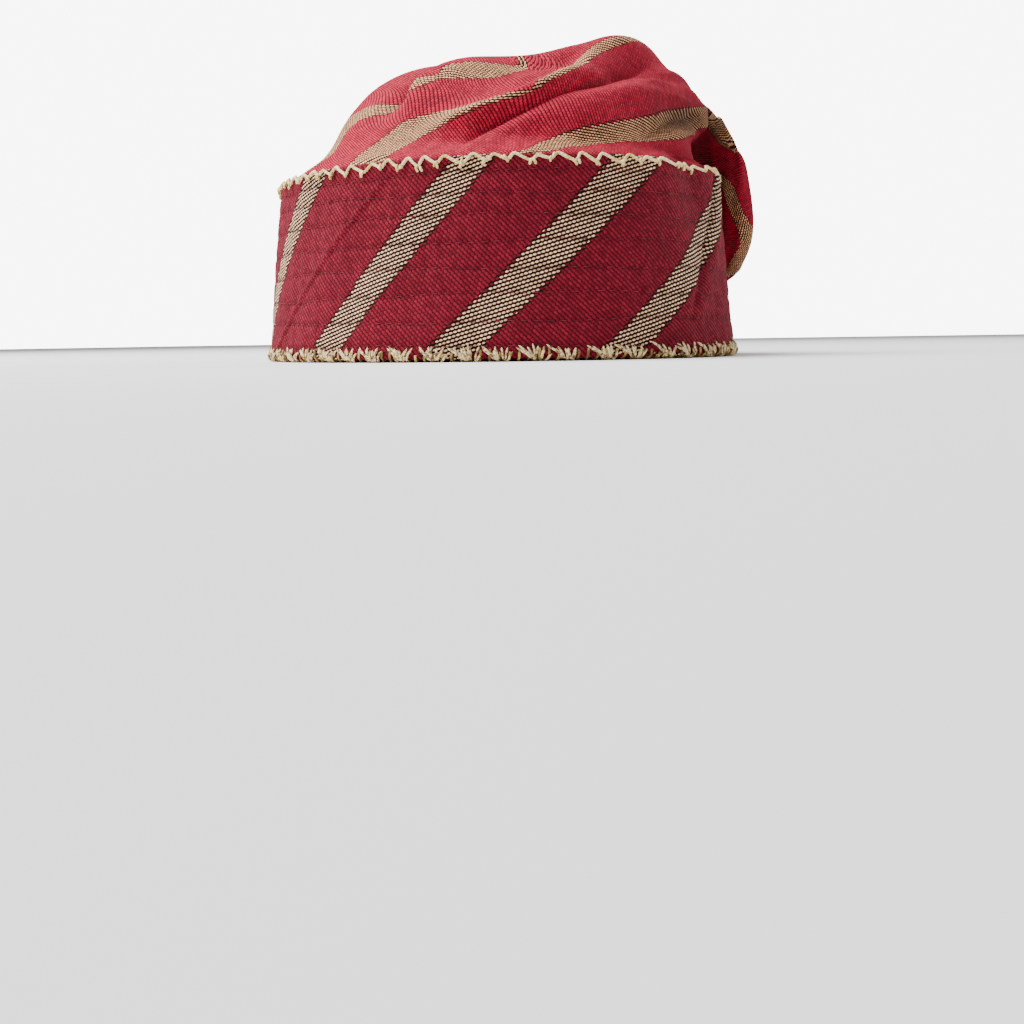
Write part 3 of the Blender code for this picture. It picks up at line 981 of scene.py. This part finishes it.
# strength of the painted shade in the crown's deepest hollows
HOLLOW_PAINTED_SHADE = 0.8
EVEN_ROUNDS = 900
SHORTEST_EDGE = 0.0002
EVENED = 4
DRAWN_OUT = 1.1  # the crown's threads are halved where they come out over 2 * DRAWN_OUT too wide
MOST_HALVINGS = 3
SEAM_MEET = 1e-5  # points of the closed end that are so near become one


def crown_turns():
    """Turns of the columns, from the first turn both ways, twice as close in the busy part."""
    half = CROWN_COLUMNS // 2
    share = np.array([0, BUSY_TURN, ROUND / 2])
    count = np.array([0, BUSY_TURN, BUSY_TURN + 2 * (ROUND / 2 - BUSY_TURN)])
    one_side = np.interp(np.linspace(0, count[-1], half + 1), count, share)
    both = np.concatenate([one_side, ROUND - one_side[-2:0:-1]])
    return first_turn() + np.radians(both)


def crown_stripes(turn, way, rise):
    """Distance across the crown's stripes, from their table. The foot carries them on down."""
    size = sizes()
    shift = np.minimum(rise, 0) / np.tan(np.radians(CROWN_STRIPE_CLIMB))
    shift = shift / (LENGTH_ROUND * BAND_TAPER) * ROUND
    middles, halves = [], []
    for lap in LAPS:
        for rows in CROWN_STRIPES:
            ways, turns, half_widths = np.transpose(rows)
            middles.append(smooth_rows(way, ways, turns) + lap * ROUND + shift)
            halves.append(smooth_rows(way, ways, half_widths) * CROWN_STRIPE_ROOM)
    room = size.stripe_width * CROWN_STRIPE_ROOM
    return across_stripes(np.degrees(turn), middles, halves, room, size.stripe_pitch)


def crown_painted_shade(turn, way):
    """Painted shade: with the depth of its hollows, and bells over the turn and the way."""
    lift, _ = fold_lift(turn, way)
    shade = HOLLOW_PAINTED_SHADE * ease(-lift / DEEP_HOLLOW)
    for place, at, wide, long, strength in PAINTED_SHADES.values():
        off = apart(np.degrees(turn), place)
        shade = np.maximum(shade, strength * bell(off, wide) * bell(way - at, long))
    return shade


def between(values, axis):
    """Means of neighbours along an axis of a grid."""
    return (np.delete(values, 0, axis) + np.delete(values, -1, axis)) / 2


def even_distance(points, ahead):
    """Distance along a direction over a grid of points, as even as the surface lets it be.

    It is the field whose change between neighbours is nearest to their distance along the
    direction. Each squared difference counts by the width of the cells beside the edge over the
    edge's length, so that equal areas count the same. The least squares are solved by conjugate
    gradients.
    """
    wants, shares = [], []
    for axis in (0, 1):
        step = np.diff(points, axis=axis)
        wants.append(np.sum(step * unit(between(ahead, axis)), -1))
        beside = np.linalg.norm(np.diff(points, axis=1 - axis), axis=-1)
        beside = np.pad(beside, [(axis, axis), (1 - axis, 1 - axis)], mode="edge")
        beside = between(between(beside, 1 - axis), axis)
        shares.append(beside / np.maximum(np.linalg.norm(step, axis=-1), SHORTEST_EDGE))

    def gather(down, over, sign=-1):
        total = np.zeros(points.shape[:2])
        total[1:] += down
        total[:-1] += sign * down
        total[:, 1:] += over
        total[:, :-1] += sign * over
        return total

    weight = gather(*shares, 1)
    field = np.zeros(points.shape[:2])
    left = gather(*(share * want for share, want in zip(shares, wants)))
    push = left / weight
    aim, size = push, np.sum(left * push)
    for _ in range(EVEN_ROUNDS):
        pulled = gather(*(shares[axis] * np.diff(aim, axis=axis) for axis in (0, 1)))
        share = size / np.sum(aim * pulled)
        field, left = field + share * aim, left - share * pulled
        push = left / weight
        size, before = np.sum(left * push), size
        aim = push + size / before * aim
    return field


def steepness(points, field):
    """How fast a field changes over a surface: the length of its gradient, evened out.

    With a and b the grid's two directions, it is the root of (|b|^2 fa^2 - 2 (a.b) fa fb + |a|^2
    fb^2) / (|a|^2 |b|^2 - (a.b)^2), where fa and fb are the field's changes along them. Each value
    is then averaged with its neighbours as 1, 2, 1 both ways, EVENED times.
    """
    down, over = np.gradient(points, axis=0), np.gradient(points, axis=1)
    by_down, by_over = np.gradient(field, axis=0), np.gradient(field, axis=1)
    aa, ab, bb = np.sum(down * down, -1), np.sum(down * over, -1), np.sum(over * over, -1)
    square = bb * by_down**2 - 2 * ab * by_down * by_over + aa * by_over**2
    steep = np.sqrt(np.maximum(square, 0) / np.maximum(aa * bb - ab * ab, 1e-16))
    for _ in range(EVENED):
        steep = np.pad(steep, 1, mode="edge")
        for axis in (0, 1):
            steep = between(between(steep, axis), axis)
    return steep


def crown_cloth(points, across):
    """The crown's UV and how often its threads are halved.

    The UV holds even distances along the stripes' direction, on which across stays the same, and
    square to it. The halvings are the base 2 logarithm of how far the threads are drawn out.
    """
    down, over = np.gradient(points, axis=0), np.gradient(points, axis=1)
    by_down, by_over = (np.gradient(across, axis=axis)[..., None] for axis in (0, 1))
    along = unit(down * by_over - over * by_down)
    square = unit(np.cross(along, np.cross(over, down)))
    cloth = np.stack([even_distance(points, along), even_distance(points, square)], -1)
    drawn = np.maximum(steepness(points, cloth[..., 0]) * DRAWN_OUT, 2.0**-MOST_HALVINGS)
    return cloth, np.maximum(-np.log2(drawn), 0)


def crown_surface(turn):
    """Rows of the crown from its foot inside the band to its closed end, and the way of each."""
    way = np.linspace(0, 1, CROWN_ROWS + 1)[:, None]
    high = np.linspace(CROWN_FOOT, BAND_HIGH, FOOT_ROWS, endpoint=False)[:, None]
    foot_turn = turn[None, :] + 0 * high
    foot = wall_points(foot_turn, high + 0 * foot_turn, BAND_WALL + GAP)
    points = np.concatenate([foot, crown_points(turn[None, :], way)])
    points = np.concatenate([points, close_end(points)])
    return points, np.concatenate([0 * high, way, np.ones((END_ROWS, 1))])


def close_end(points):
    """Rows that draw the last ring together to a seam: each pair of points meets in its middle."""
    last = points[-1]
    middle = (last + last[-np.arange(len(last)) % len(last)]) / 2
    down = unit(last - points[-2])
    share = np.linspace(0, 1, END_ROWS + 1)[1:, None, None]
    return middle + (last - middle) * np.sqrt(1 - share**2) + down * ROLL * share


def build_crown():
    turn = crown_turns()
    points, way = crown_surface(turn)
    steps = np.linalg.norm(np.diff(points, axis=0), axis=-1)
    rise = np.concatenate([np.zeros((1, len(turn))), np.cumsum(steps, 0)])
    rise -= rise[FOOT_ROWS]
    rise = np.concatenate([rise, rise[:, :1]], 1)
    closed = np.append(turn, turn[0] + FULL_TURN)
    across = crown_stripes(closed[None, :] + 0 * rise, way, rise)
    cloth, halvings = crown_cloth(np.concatenate([points, points[:, :1]], 1), across)
    steps, colour = np.multiply(CROWN_FINER, (STEP_ALONG, STEP_ACROSS)), colours()
    material = cloth_material(
        "crown cloth", steps, colour.crown_red, colour.crown_cream, *CROWN_LOOK
    )
    crown = lay_mesh("folded_crown", points[None], cloth[None], material, False, True)
    mark_stripes(crown, across, len(points))
    # painted shade of the crown's hollows and of the places in its table
    mark(crown, SHADE, crown_painted_shade(turn[None, :], way))
    mark(crown, HALVINGS, halvings[:, :-1])
    shell = bmesh.new()
    shell.from_mesh(crown.data)
    last = [v for v in shell.verts if v.index >= (len(points) - 1) * len(turn)]
    bmesh.ops.remove_doubles(shell, verts=last, dist=SEAM_MEET)
    shell.to_mesh(crown.data)
    shell.free()
    walls = crown.modifiers.new("cloth thickness", "SOLIDIFY")
    walls.thickness = sizes().cloth_thickness
    walls.offset = -1
    walls.use_even_offset = False
    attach(crown, "root")
    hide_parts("crown")


# Cord and threads

# The rim cord: points of a tooth, how far its start may shift, where its low bend may be on the
# way to the next start, and how far it may reach up and down as shares of the sizes' reaches
CORD_POINTS = 12
TOOTH_SHIFT = 0.2
BEND_AT = (0.64, 0.86)
REACH_UP = (0.30, 1.30)
REACH_DOWN = (0.40, 1.45)
CALM_TURN, CALM_WIDE, CALM_SHARE = 352.0, 26.0, 0.6  # where the cord's teeth are shallower
CORD_WAVES = (0.08, 5.1)  # how far the cord's thickness varies, and how fast
CORD_PROUD, WHIP_PROUD = 0.45, 0.55  # how far the middle stands off the cloth, over the thickness
KNOT_THIN, STRAND_THIN, WHIP_THIN = 0.9, 0.66, 0.7  # thicknesses over the thread's
GUIDE_UP = (0, 0, 0.7)  # tilts the tubes' guide up, so that it never lies along the path
KNOTS = 2  # at each low bend
KNOT_POINTS = 7
KNOT_SHIFT = 0.0012  # along the rim, in metres
KNOT_LEVEL = (-0.0008, 0.0006)  # off the bend, down the face
KNOT_LEAN = 0.9
KNOT_HALF = (0.0008, 0.0016)  # half a knot's length
TRIM_UNDER = 0.0022  # how far round the bottom rim the bunches end and the whipping is centred
WHIP_PITCH = 0.0034
WHIP_REACH = 0.0034
WHIP_SWING = (0.7, 1.5)  # share of the reach
WHIP_LEAN = 0.25  # how far the loops lean, over their pitch
WHIP_POINTS = 14
BUNCH_POINTS = 9
BUNCH_SHIFT = 0.12  # share of the pitch
STRAND_PROUD = (0.35, 0.9)  # least and more in the middle, over the strand's thickness
STRAND_BULGE = (0.6, 1.3)  # share of the latter
STRAND_ARCH = 1.1  # the arch ends before the strand does, by this ratio
STRAND_LEAST = 0.0006
STRAND_ROOM = 0.004  # keeps a strand's bulge low where it runs under the rim
BUNCH = (
    # along and up at the tip, along and up at the foot: shares of the pitch and of the reach
    (0.00, 1.00, 0.60, -0.05),
    (0.09, 0.84, 0.56, 0.02),
    (0.28, 0.72, 0.44, 0.15),
    (0.38, 0.96, 0.48, 0.10),
    (0.48, 0.80, 0.52, 0.05),
    (0.57, 0.92, 0.56, 0.02),
    (0.67, 0.70, 0.60, 0.00),
    (0.77, 0.80, 0.63, -0.05),
    (0.87, 0.55, 0.66, -0.10),
)
BUNCH_SPREAD = (0.07, 0.18, 0.05, 0.08)  # how far each of the four values strays
STITCH_PITCH = 0.0046
STITCH_HALF = 0.28  # share of the pitch
STITCH_POINTS = 6
STITCH_THICK = 0.00032


def beside_wall(turn, high, inset):
    """Points at the wall's inset, also where they are higher or lower than the wall."""
    plan = wall_points(turn, np.clip(high, 0, BAND_HIGH), inset) * (1, 1, 0)
    return plan + np.stack([0 * turn, 0 * turn, high], -1)


def over_rim(turn, down, proud):
    """Points round the band's top rim: down is the distance down the face from the rim's top edge.

    Above the face they follow the rim's half circle, and past its top they rise along the crown.
    """
    radius = BAND_WALL / 2
    bend = np.clip(-down / radius, 0, np.pi / 2)
    beyond = np.maximum(-down - radius * np.pi / 2, 0)
    inset = radius - (radius + proud) * np.cos(bend)
    high = BAND_HIGH - radius - np.maximum(down, 0) + (radius + proud) * np.sin(bend) + beyond
    return beside_wall(turn, high, inset)


def build_rim_cord():
    """One cord in a zigzag over the top rim, and knots over its low bends.

    Each tooth is a long leg down and a short steep leg up, evened once with its neighbours.
    """
    size, colour = sizes(), colours()
    draw = np.random.default_rng(11)
    teeth = int(round(LENGTH_ROUND / size.cord_pitch))
    start = np.arange(teeth) + draw.uniform(-TOOTH_SHIFT, TOOTH_SHIFT, teeth)
    to_next = np.append(start[1:], start[0] + teeth) - start
    low_at = start + draw.uniform(*BEND_AT, teeth) * to_next
    up, low = draw.uniform(*REACH_UP, teeth), draw.uniform(*REACH_DOWN, teeth)
    keys = np.stack([start, low_at], -1).ravel()
    low_turn = np.degrees(turn_at(low_at / teeth * LENGTH_ROUND))
    calm = 1 - CALM_SHARE * bell(apart(low_turn, CALM_TURN), CALM_WIDE)
    levels = np.stack([-up * size.cord_up * calm, low * size.cord_down * calm], -1).ravel()
    at = np.arange(teeth * CORD_POINTS) / CORD_POINTS
    down = np.interp(at, np.concatenate([keys - teeth, keys, keys + teeth]), np.tile(levels, 3))
    down = (np.roll(down, 1) + 2 * down + np.roll(down, -1)) / 4
    turn = turn_at(at / teeth * LENGTH_ROUND)
    thick = size.cord_thickness
    path = over_rim(turn, down, thick * CORD_PROUD + 0 * down)
    radius = thick / 2 * (1 + CORD_WAVES[0] * np.sin(at * CORD_WAVES[1]))
    cream = thread_material("rim cord", colour.cord_cream, colour.gold_thread, thick)
    cord = lay_tubes("rim_cord", path, radius, outward(turn) + GUIDE_UP, cream)
    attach(cord, "root")

    # Knots: short threads over the cord at each low bend
    count = KNOTS * teeth
    middle = np.repeat(low_at / teeth * LENGTH_ROUND, KNOTS)
    middle += draw.uniform(-KNOT_SHIFT, KNOT_SHIFT, count)
    level = np.repeat(low * size.cord_down * calm, KNOTS) + draw.uniform(*KNOT_LEVEL, count)
    lean = draw.uniform(-KNOT_LEAN, KNOT_LEAN, count)
    reach = draw.uniform(*KNOT_HALF, count)
    t = np.linspace(-1, 1, KNOT_POINTS)[None, :]
    knot_turn = turn_at(middle[:, None] + t * (reach * np.sin(lean))[:, None])
    knot_down = level[:, None] + t * (reach * np.cos(lean))[:, None]
    proud = thick * (CORD_PROUD + (1 - CORD_PROUD) * (1 - t * t))
    knots = over_rim(knot_turn, knot_down, proud + 0 * knot_down)
    fine = size.thread_thickness * KNOT_THIN
    radius = round_ends(KNOT_POINTS, fine)[None, :] + 0 * knot_down
    gold = thread_material("knot thread", colour.gold_thread, colour.cord_cream, fine)
    piece = lay_tubes("rim_knots", knots, radius, outward(knot_turn) + GUIDE_UP, gold)
    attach(piece, "root")


def edge_points(distance, up, proud):
    """Points near the band's bottom rim, and their direction off the cloth.

    They lie on the face, and follow the rim's half circle where up is under 0.
    """
    radius = BAND_WALL / 2
    bend = np.clip(-up / radius, 0, np.pi)
    beyond = np.maximum(-up - radius * np.pi, 0)
    turn = turn_at(distance)
    inset = radius - (radius + proud) * np.cos(bend)
    high = BAND_LIFT + radius + np.maximum(up, 0) - (radius + proud) * np.sin(bend) + beyond
    down = np.stack([0 * turn, 0 * turn, np.sin(bend)], -1)
    return beside_wall(turn, high, inset), outward(turn) * np.cos(bend)[..., None] - down


def build_edge_bunches():
    """Bunches of thread at the bottom rim: strands that fan out from under it up the face."""
    size, colour = sizes(), colours()
    draw = np.random.default_rng(23)
    bunches = int(round(LENGTH_ROUND / size.bunch_pitch))
    pitch = LENGTH_ROUND / bunches
    start = (np.arange(bunches) + draw.uniform(-BUNCH_SHIFT, BUNCH_SHIFT, bunches)) * pitch
    shape = np.array(BUNCH) + draw.normal(0, 1, (bunches, len(BUNCH), 4)) * BUNCH_SPREAD
    tip_at, foot_at = (start[:, None] + shape[..., k] * pitch for k in (0, 2))
    tip_up, foot_up = (shape[..., k] * size.bunch_reach for k in (1, 3))
    t = np.linspace(0, 1, BUNCH_POINTS)
    at = tip_at[..., None] * (1 - t) + foot_at[..., None] * t
    up = tip_up[..., None] * (1 - t) + (foot_up[..., None] - TRIM_UNDER) * t
    thick = size.thread_thickness * STRAND_THIN
    bulge = draw.uniform(*STRAND_BULGE, (bunches, len(BUNCH), 1))
    arch = bulge * np.sin(np.pi * np.clip(t * STRAND_ARCH, 0, 1))
    proud = thick * (STRAND_PROUD[0] + arch * STRAND_PROUD[1])
    proud = np.minimum(proud, np.maximum(STRAND_LEAST, BAND_LIFT + up + STRAND_ROOM))
    path, guide = (part.reshape(-1, BUNCH_POINTS, 3) for part in edge_points(at, up, proud))
    path[..., 2] = np.maximum(path[..., 2], thick / 2)
    radius = round_ends(BUNCH_POINTS, thick)[None, :] * (1 + 0 * path[..., 0])
    cream = thread_material("bunch thread", colour.cord_cream, colour.dull_gold_and_shade, thick)
    bunch = lay_tubes("edge_bunches", path, radius, guide, cream)
    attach(bunch, "root")


def build_edge_whipping():
    """Gold thread whipped round the bottom rim: a spiral that swings between face and inside."""
    size, colour = sizes(), colours()
    draw = np.random.default_rng(5)
    loops = int(round(LENGTH_ROUND / WHIP_PITCH))
    at = np.arange(loops * WHIP_POINTS) / WHIP_POINTS
    swing = np.interp(at, np.arange(loops), draw.uniform(*WHIP_SWING, loops))
    up = -TRIM_UNDER + WHIP_REACH * swing * np.sin(at * FULL_TURN)
    along = (at + WHIP_LEAN * np.sin(at * FULL_TURN + 1.0)) * LENGTH_ROUND / loops
    thick = size.thread_thickness * WHIP_THIN
    path, guide = edge_points(along, up, thick * WHIP_PROUD + 0 * up)
    path[..., 2] = np.maximum(path[..., 2], thick / 2)
    # the whipping's dull gold is partly painted shade in the gaps between the bunches
    gold = thread_material("whipping thread", colour.dull_gold_and_shade, colour.gold_thread, thick)
    whip = lay_tubes("edge_whipping", path, thick / 2 + 0 * up, guide, gold)
    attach(whip, "root")


def build_quilting_thread():
    """Short running stitches that lie in the grooves of the quilting rows."""
    colour = colours()
    count = int(round(LENGTH_ROUND / STITCH_PITCH))
    t = np.linspace(-1, 1, STITCH_POINTS)
    turn = turn_at((np.arange(count)[:, None] + STITCH_HALF * t) / count * LENGTH_ROUND)
    lines = quilt_lines(turn.ravel()).reshape(-1, STITCH_POINTS)
    turn = np.tile(turn, (len(QUILT_ROWS), 1))
    relief, _ = band_relief(turn.ravel()[None], lines.ravel()[None])
    proud = relief.reshape(turn.shape) + STITCH_THICK * (0.15 + 0.5 * (1 - t * t))
    path = face_point(turn, lines, proud)
    dark = thread_material("quilting thread", colour.band_red, colour.red_ground, STITCH_THICK)
    radius = round_ends(STITCH_POINTS, STITCH_THICK)[None, :] + 0 * turn
    rows = lay_tubes("quilting_thread", path, radius, outward(turn), dark)
    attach(rows, "root")


# The stage

# The camera's azimuth, distance, height, pitch, yaw and roll, in degrees and metres
CAMERA_FIT = (-62.0, 0.4982, 0.0080, 8.66, -0.631, -0.876)
CAMERA_PIXELS = 1136.0  # focal length in pixels of the image
IMAGE_WIDE = 1024
SENSOR = 36.0
# Lights: place to the image's right, toward the camera and up, size, power, in metres and watts
LIGHTS = {
    "left side": (-1.1, 0.2, 0.6, 0.8, 12.0),
    "right side": (1.2, -0.4, 0.4, 0.8, 9.0),
    "top": (-0.5, -0.1, 1.2, 1.0, 45.0),
}
AIM_UP = 0.06  # height of the point that the lights face
WORLD_LIGHT = 0.38
WORLD_SEEN = 8.0  # the backdrop's own brightness, in sight only
FLOOR_REACH = 3.0
FLOOR_TINT = (0.03, 0.97)  # how far noise brightens the floor, and its least


def stand(thing, side, above, back, place):
    """Puts an object in the scene at a place, its X, Y and Z along the three unit vectors."""
    matrix = np.eye(4)
    matrix[:3] = np.stack([side, above, back, place], -1)
    thing.matrix_world = Matrix(matrix.tolist())
    bpy.context.scene.collection.objects.link(thing)


def build_camera():
    """Sets the camera up and returns the level directions to its right and ahead of it."""
    azimuth, distance, high, pitch, yaw, roll = CAMERA_FIT
    azimuth, pitch, yaw, roll = np.radians([azimuth, pitch, yaw, roll])
    place = MIDDLE + (distance * np.sin(azimuth), -distance * np.cos(azimuth), high)
    forward = np.array([-np.sin(azimuth + yaw), np.cos(azimuth + yaw), 0])
    right = np.array([np.cos(azimuth + yaw), np.sin(azimuth + yaw), 0])
    up = np.array([0, 0, 1.0])
    ahead = forward * np.cos(pitch) - up * np.sin(pitch)
    above = up * np.cos(pitch) + forward * np.sin(pitch)
    side = right * np.cos(roll) + above * np.sin(roll)
    above = above * np.cos(roll) - right * np.sin(roll)
    data = bpy.data.cameras.new("camera")
    data.sensor_width = SENSOR
    data.lens = SENSOR * CAMERA_PIXELS / IMAGE_WIDE
    data.clip_start = 0.005
    camera = bpy.data.objects.new("camera", data)
    stand(camera, side, above, -ahead, place)
    bpy.context.scene.camera = camera
    return right, forward


def build_stage():
    right, forward = build_camera()
    for name, (across, near, up, wide, power) in LIGHTS.items():
        data = bpy.data.lights.new(name, "AREA")
        data.size, data.energy = wide, power
        place = MIDDLE + right * across - forward * near + (0, 0, up)
        back = unit(place - MIDDLE - (0, 0, AIM_UP))
        side = unit(np.cross((0, 0, 1), back))
        stand(bpy.data.objects.new(name, data), side, np.cross(back, side), back, place)
    world = bpy.data.worlds.new("studio")
    world.use_nodes = True
    tree = world.node_tree
    seen = add_node(tree, "ShaderNodeLightPath").outputs["Is Camera Ray"]
    strength = mix_value(tree, seen, WORLD_LIGHT, WORLD_SEEN)
    fill(tree, tree.nodes["Background"], {"Color": (1, 1, 1, 1), "Strength": strength})
    bpy.context.scene.world = world

    x, y = np.meshgrid(*[np.linspace(-FLOOR_REACH, FLOOR_REACH, 3)] * 2)
    points = np.stack([x, y, 0 * x], -1)
    material, tree, shader, _ = start_material("floor")
    spot = add_node(tree, "ShaderNodeTexCoord").outputs["Object"]
    tint = maths(tree, "MULTIPLY_ADD", noise(tree, spot, 2.0), *FLOOR_TINT)
    base = mix_colour(tree, 1.0, (*colours().floor, 1), tint, "MULTIPLY")
    fill(tree, shader, {"Base Color": base, "Roughness": 0.9})
    floor = lay_mesh("floor", points[None], points[None, ..., :2], material)


# Settings, operators and panel


def length_property(name, description, default, low, high):
    return bpy.props.FloatProperty(
        name=name, description=description, default=default, min=low, max=high,
        precision=5, unit="LENGTH", subtype="DISTANCE",
    )


def colour_property(name, description, default):
    return bpy.props.FloatVectorProperty(
        name=name, description=description, default=default, size=3,
        min=0.0, max=1.0, subtype="COLOR",
    )


class FilaCapSizes(bpy.types.PropertyGroup):
    """Sizes that a user would change"""

    quilting_depth: length_property(
        "Quilting depth", "How far a sewn row draws the band in", 0.0005, 0.0, 0.002
    )
    cloth_thickness: length_property(
        "Cloth thickness", "Thickness of the crown's one layer of cloth", 0.0014, 0.0005, 0.003
    )
    fold_share: bpy.props.FloatProperty(
        name="Fold depth", description="Depth of the crown's folds, where 1 is as fitted",
        default=1.0, min=0.0, max=1.3, subtype="FACTOR",
    )
    stripe_pitch: length_property(
        "Stripe pitch", "Distance from one stripe to the next, square to them", 0.040, 0.02, 0.08
    )
    stripe_width: length_property(
        "Stripe width", "Width of a cream stripe, square to it", 0.0106, 0.002, 0.02
    )
    cord_thickness: length_property(
        "Cord thickness", "Thickness of the cord on the top rim", 0.0011, 0.0005, 0.004
    )
    cord_pitch: length_property(
        "Cord pitch", "Length of one tooth of the cord's zigzag", 0.0085, 0.004, 0.03
    )
    cord_up: length_property(
        "Cord over the rim", "How far the zigzag reaches over the rim's edge", 0.0017, 0.0, 0.01
    )
    cord_down: length_property(
        "Cord down the face", "How far the zigzag reaches down the face", 0.0016, 0.0, 0.01
    )
    thread_thickness: length_property(
        "Thread thickness", "Thickness of the thread on the bottom rim", 0.0012, 0.0003, 0.003
    )
    bunch_pitch: length_property(
        "Bunch pitch", "Distance from one bunch of stitches to the next", 0.0120, 0.005, 0.03
    )
    bunch_reach: length_property(
        "Bunch reach", "How far the stitches reach up the band's face", 0.0031, 0.001, 0.01
    )


class FilaCapColours(bpy.types.PropertyGroup):
    """Colours that a user would change"""

    # The band and the crown are one cloth: the crown's lighter red is partly painted light on its
    # top, and the band's darker red partly painted shade on its face
    band_red: colour_property("Band red", "Red threads of the band", (0.205, 0.0105, 0.0235))
    crown_red: colour_property("Crown red", "Red threads of the crown", (0.47, 0.0165, 0.044))
    red_ground: colour_property("Red ground", "Between red threads", (0.060, 0.0018, 0.007))
    cream_thread: colour_property("Band cream", "The band's stripes", (1.0, 0.62, 0.38))
    crown_cream: colour_property("Crown cream", "The crown's stripes", (0.98, 0.49, 0.25))
    dark_ground: colour_property("Dark ground", "Between cream threads", (0.014, 0.004, 0.003))
    cord_cream: colour_property("Cord cream", "Cord and bunches of the rims", (1.0, 0.78, 0.42))
    gold_thread: colour_property("Gold thread", "Gold thread of the rims", (0.72, 0.50, 0.14))
    # the thread's own dull gold, made darker as painted shade in the gaps between the bunches
    dull_gold_and_shade: colour_property("Dull gold", "Thread of the bottom rim", (0.22, 0.13, 0.035))
    floor: colour_property("Floor", "The plain floor", (0.86, 0.86, 0.86))


class BuildBand(bpy.types.Operator):
    """Builds the quilted band of striped cloth"""

    bl_idname = "fila_cap.build_band"
    bl_label = "Quilted band"

    def execute(self, context):
        build_band()
        return {"FINISHED"}


class BuildQuilting(bpy.types.Operator):
    """Builds the running stitches of the quilting rows"""

    bl_idname = "fila_cap.build_quilting"
    bl_label = "Quilting thread"

    def execute(self, context):
        build_quilting_thread()
        return {"FINISHED"}


class BuildCrown(bpy.types.Operator):
    """Builds the folded crown"""

    bl_idname = "fila_cap.build_crown"
    bl_label = "Folded crown"

    def execute(self, context):
        build_crown()
        return {"FINISHED"}


class BuildRimCord(bpy.types.Operator):
    """Builds the zigzag cord and its knots on the top rim"""

    bl_idname = "fila_cap.build_rim_cord"
    bl_label = "Rim cord"

    def execute(self, context):
        build_rim_cord()
        return {"FINISHED"}


class BuildEdgeThreads(bpy.types.Operator):
    """Builds the bunches and the gold whipping on the bottom rim"""

    bl_idname = "fila_cap.build_edge_threads"
    bl_label = "Bottom rim threads"

    def execute(self, context):
        build_edge_whipping()
        build_edge_bunches()
        return {"FINISHED"}


class BuildStage(bpy.types.Operator):
    """Builds the floor, the lights and the camera"""

    bl_idname = "fila_cap.build_stage"
    bl_label = "Stage"

    def execute(self, context):
        build_stage()
        return {"FINISHED"}


OPERATORS = (BuildBand, BuildQuilting, BuildCrown, BuildRimCord, BuildEdgeThreads, BuildStage)


class FilaCapPanel(bpy.types.Panel):
    """Lists the cap's sizes, colours and building steps"""

    bl_idname = "VIEW3D_PT_fila_cap"
    bl_label = "Fila cap"
    bl_space_type = "VIEW_3D"
    bl_region_type = "UI"
    bl_category = "Fila cap"

    def draw(self, context):
        for group in (sizes(), colours()):
            for name in group.bl_rna.properties.keys():
                if name not in ("rna_type", "name"):
                    self.layout.prop(group, name)
        for operator in OPERATORS:
            self.layout.operator(operator.bl_idname)


CLASSES = (FilaCapSizes, FilaCapColours, *OPERATORS, FilaCapPanel)


def register():
    for cls in CLASSES:
        bpy.utils.register_class(cls)
    bpy.types.Scene.fila_cap_sizes = bpy.props.PointerProperty(type=FilaCapSizes)
    bpy.types.Scene.fila_cap_colours = bpy.props.PointerProperty(type=FilaCapColours)


def unregister():
    del bpy.types.Scene.fila_cap_colours
    del bpy.types.Scene.fila_cap_sizes
    for cls in reversed(CLASSES):
        bpy.utils.unregister_class(cls)


def main():
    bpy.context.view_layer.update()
    register()
    for operator in OPERATORS:
        family, name = operator.bl_idname.split(".")
        getattr(getattr(bpy.ops, family), name)()


if __name__ == "__main__":
    main()
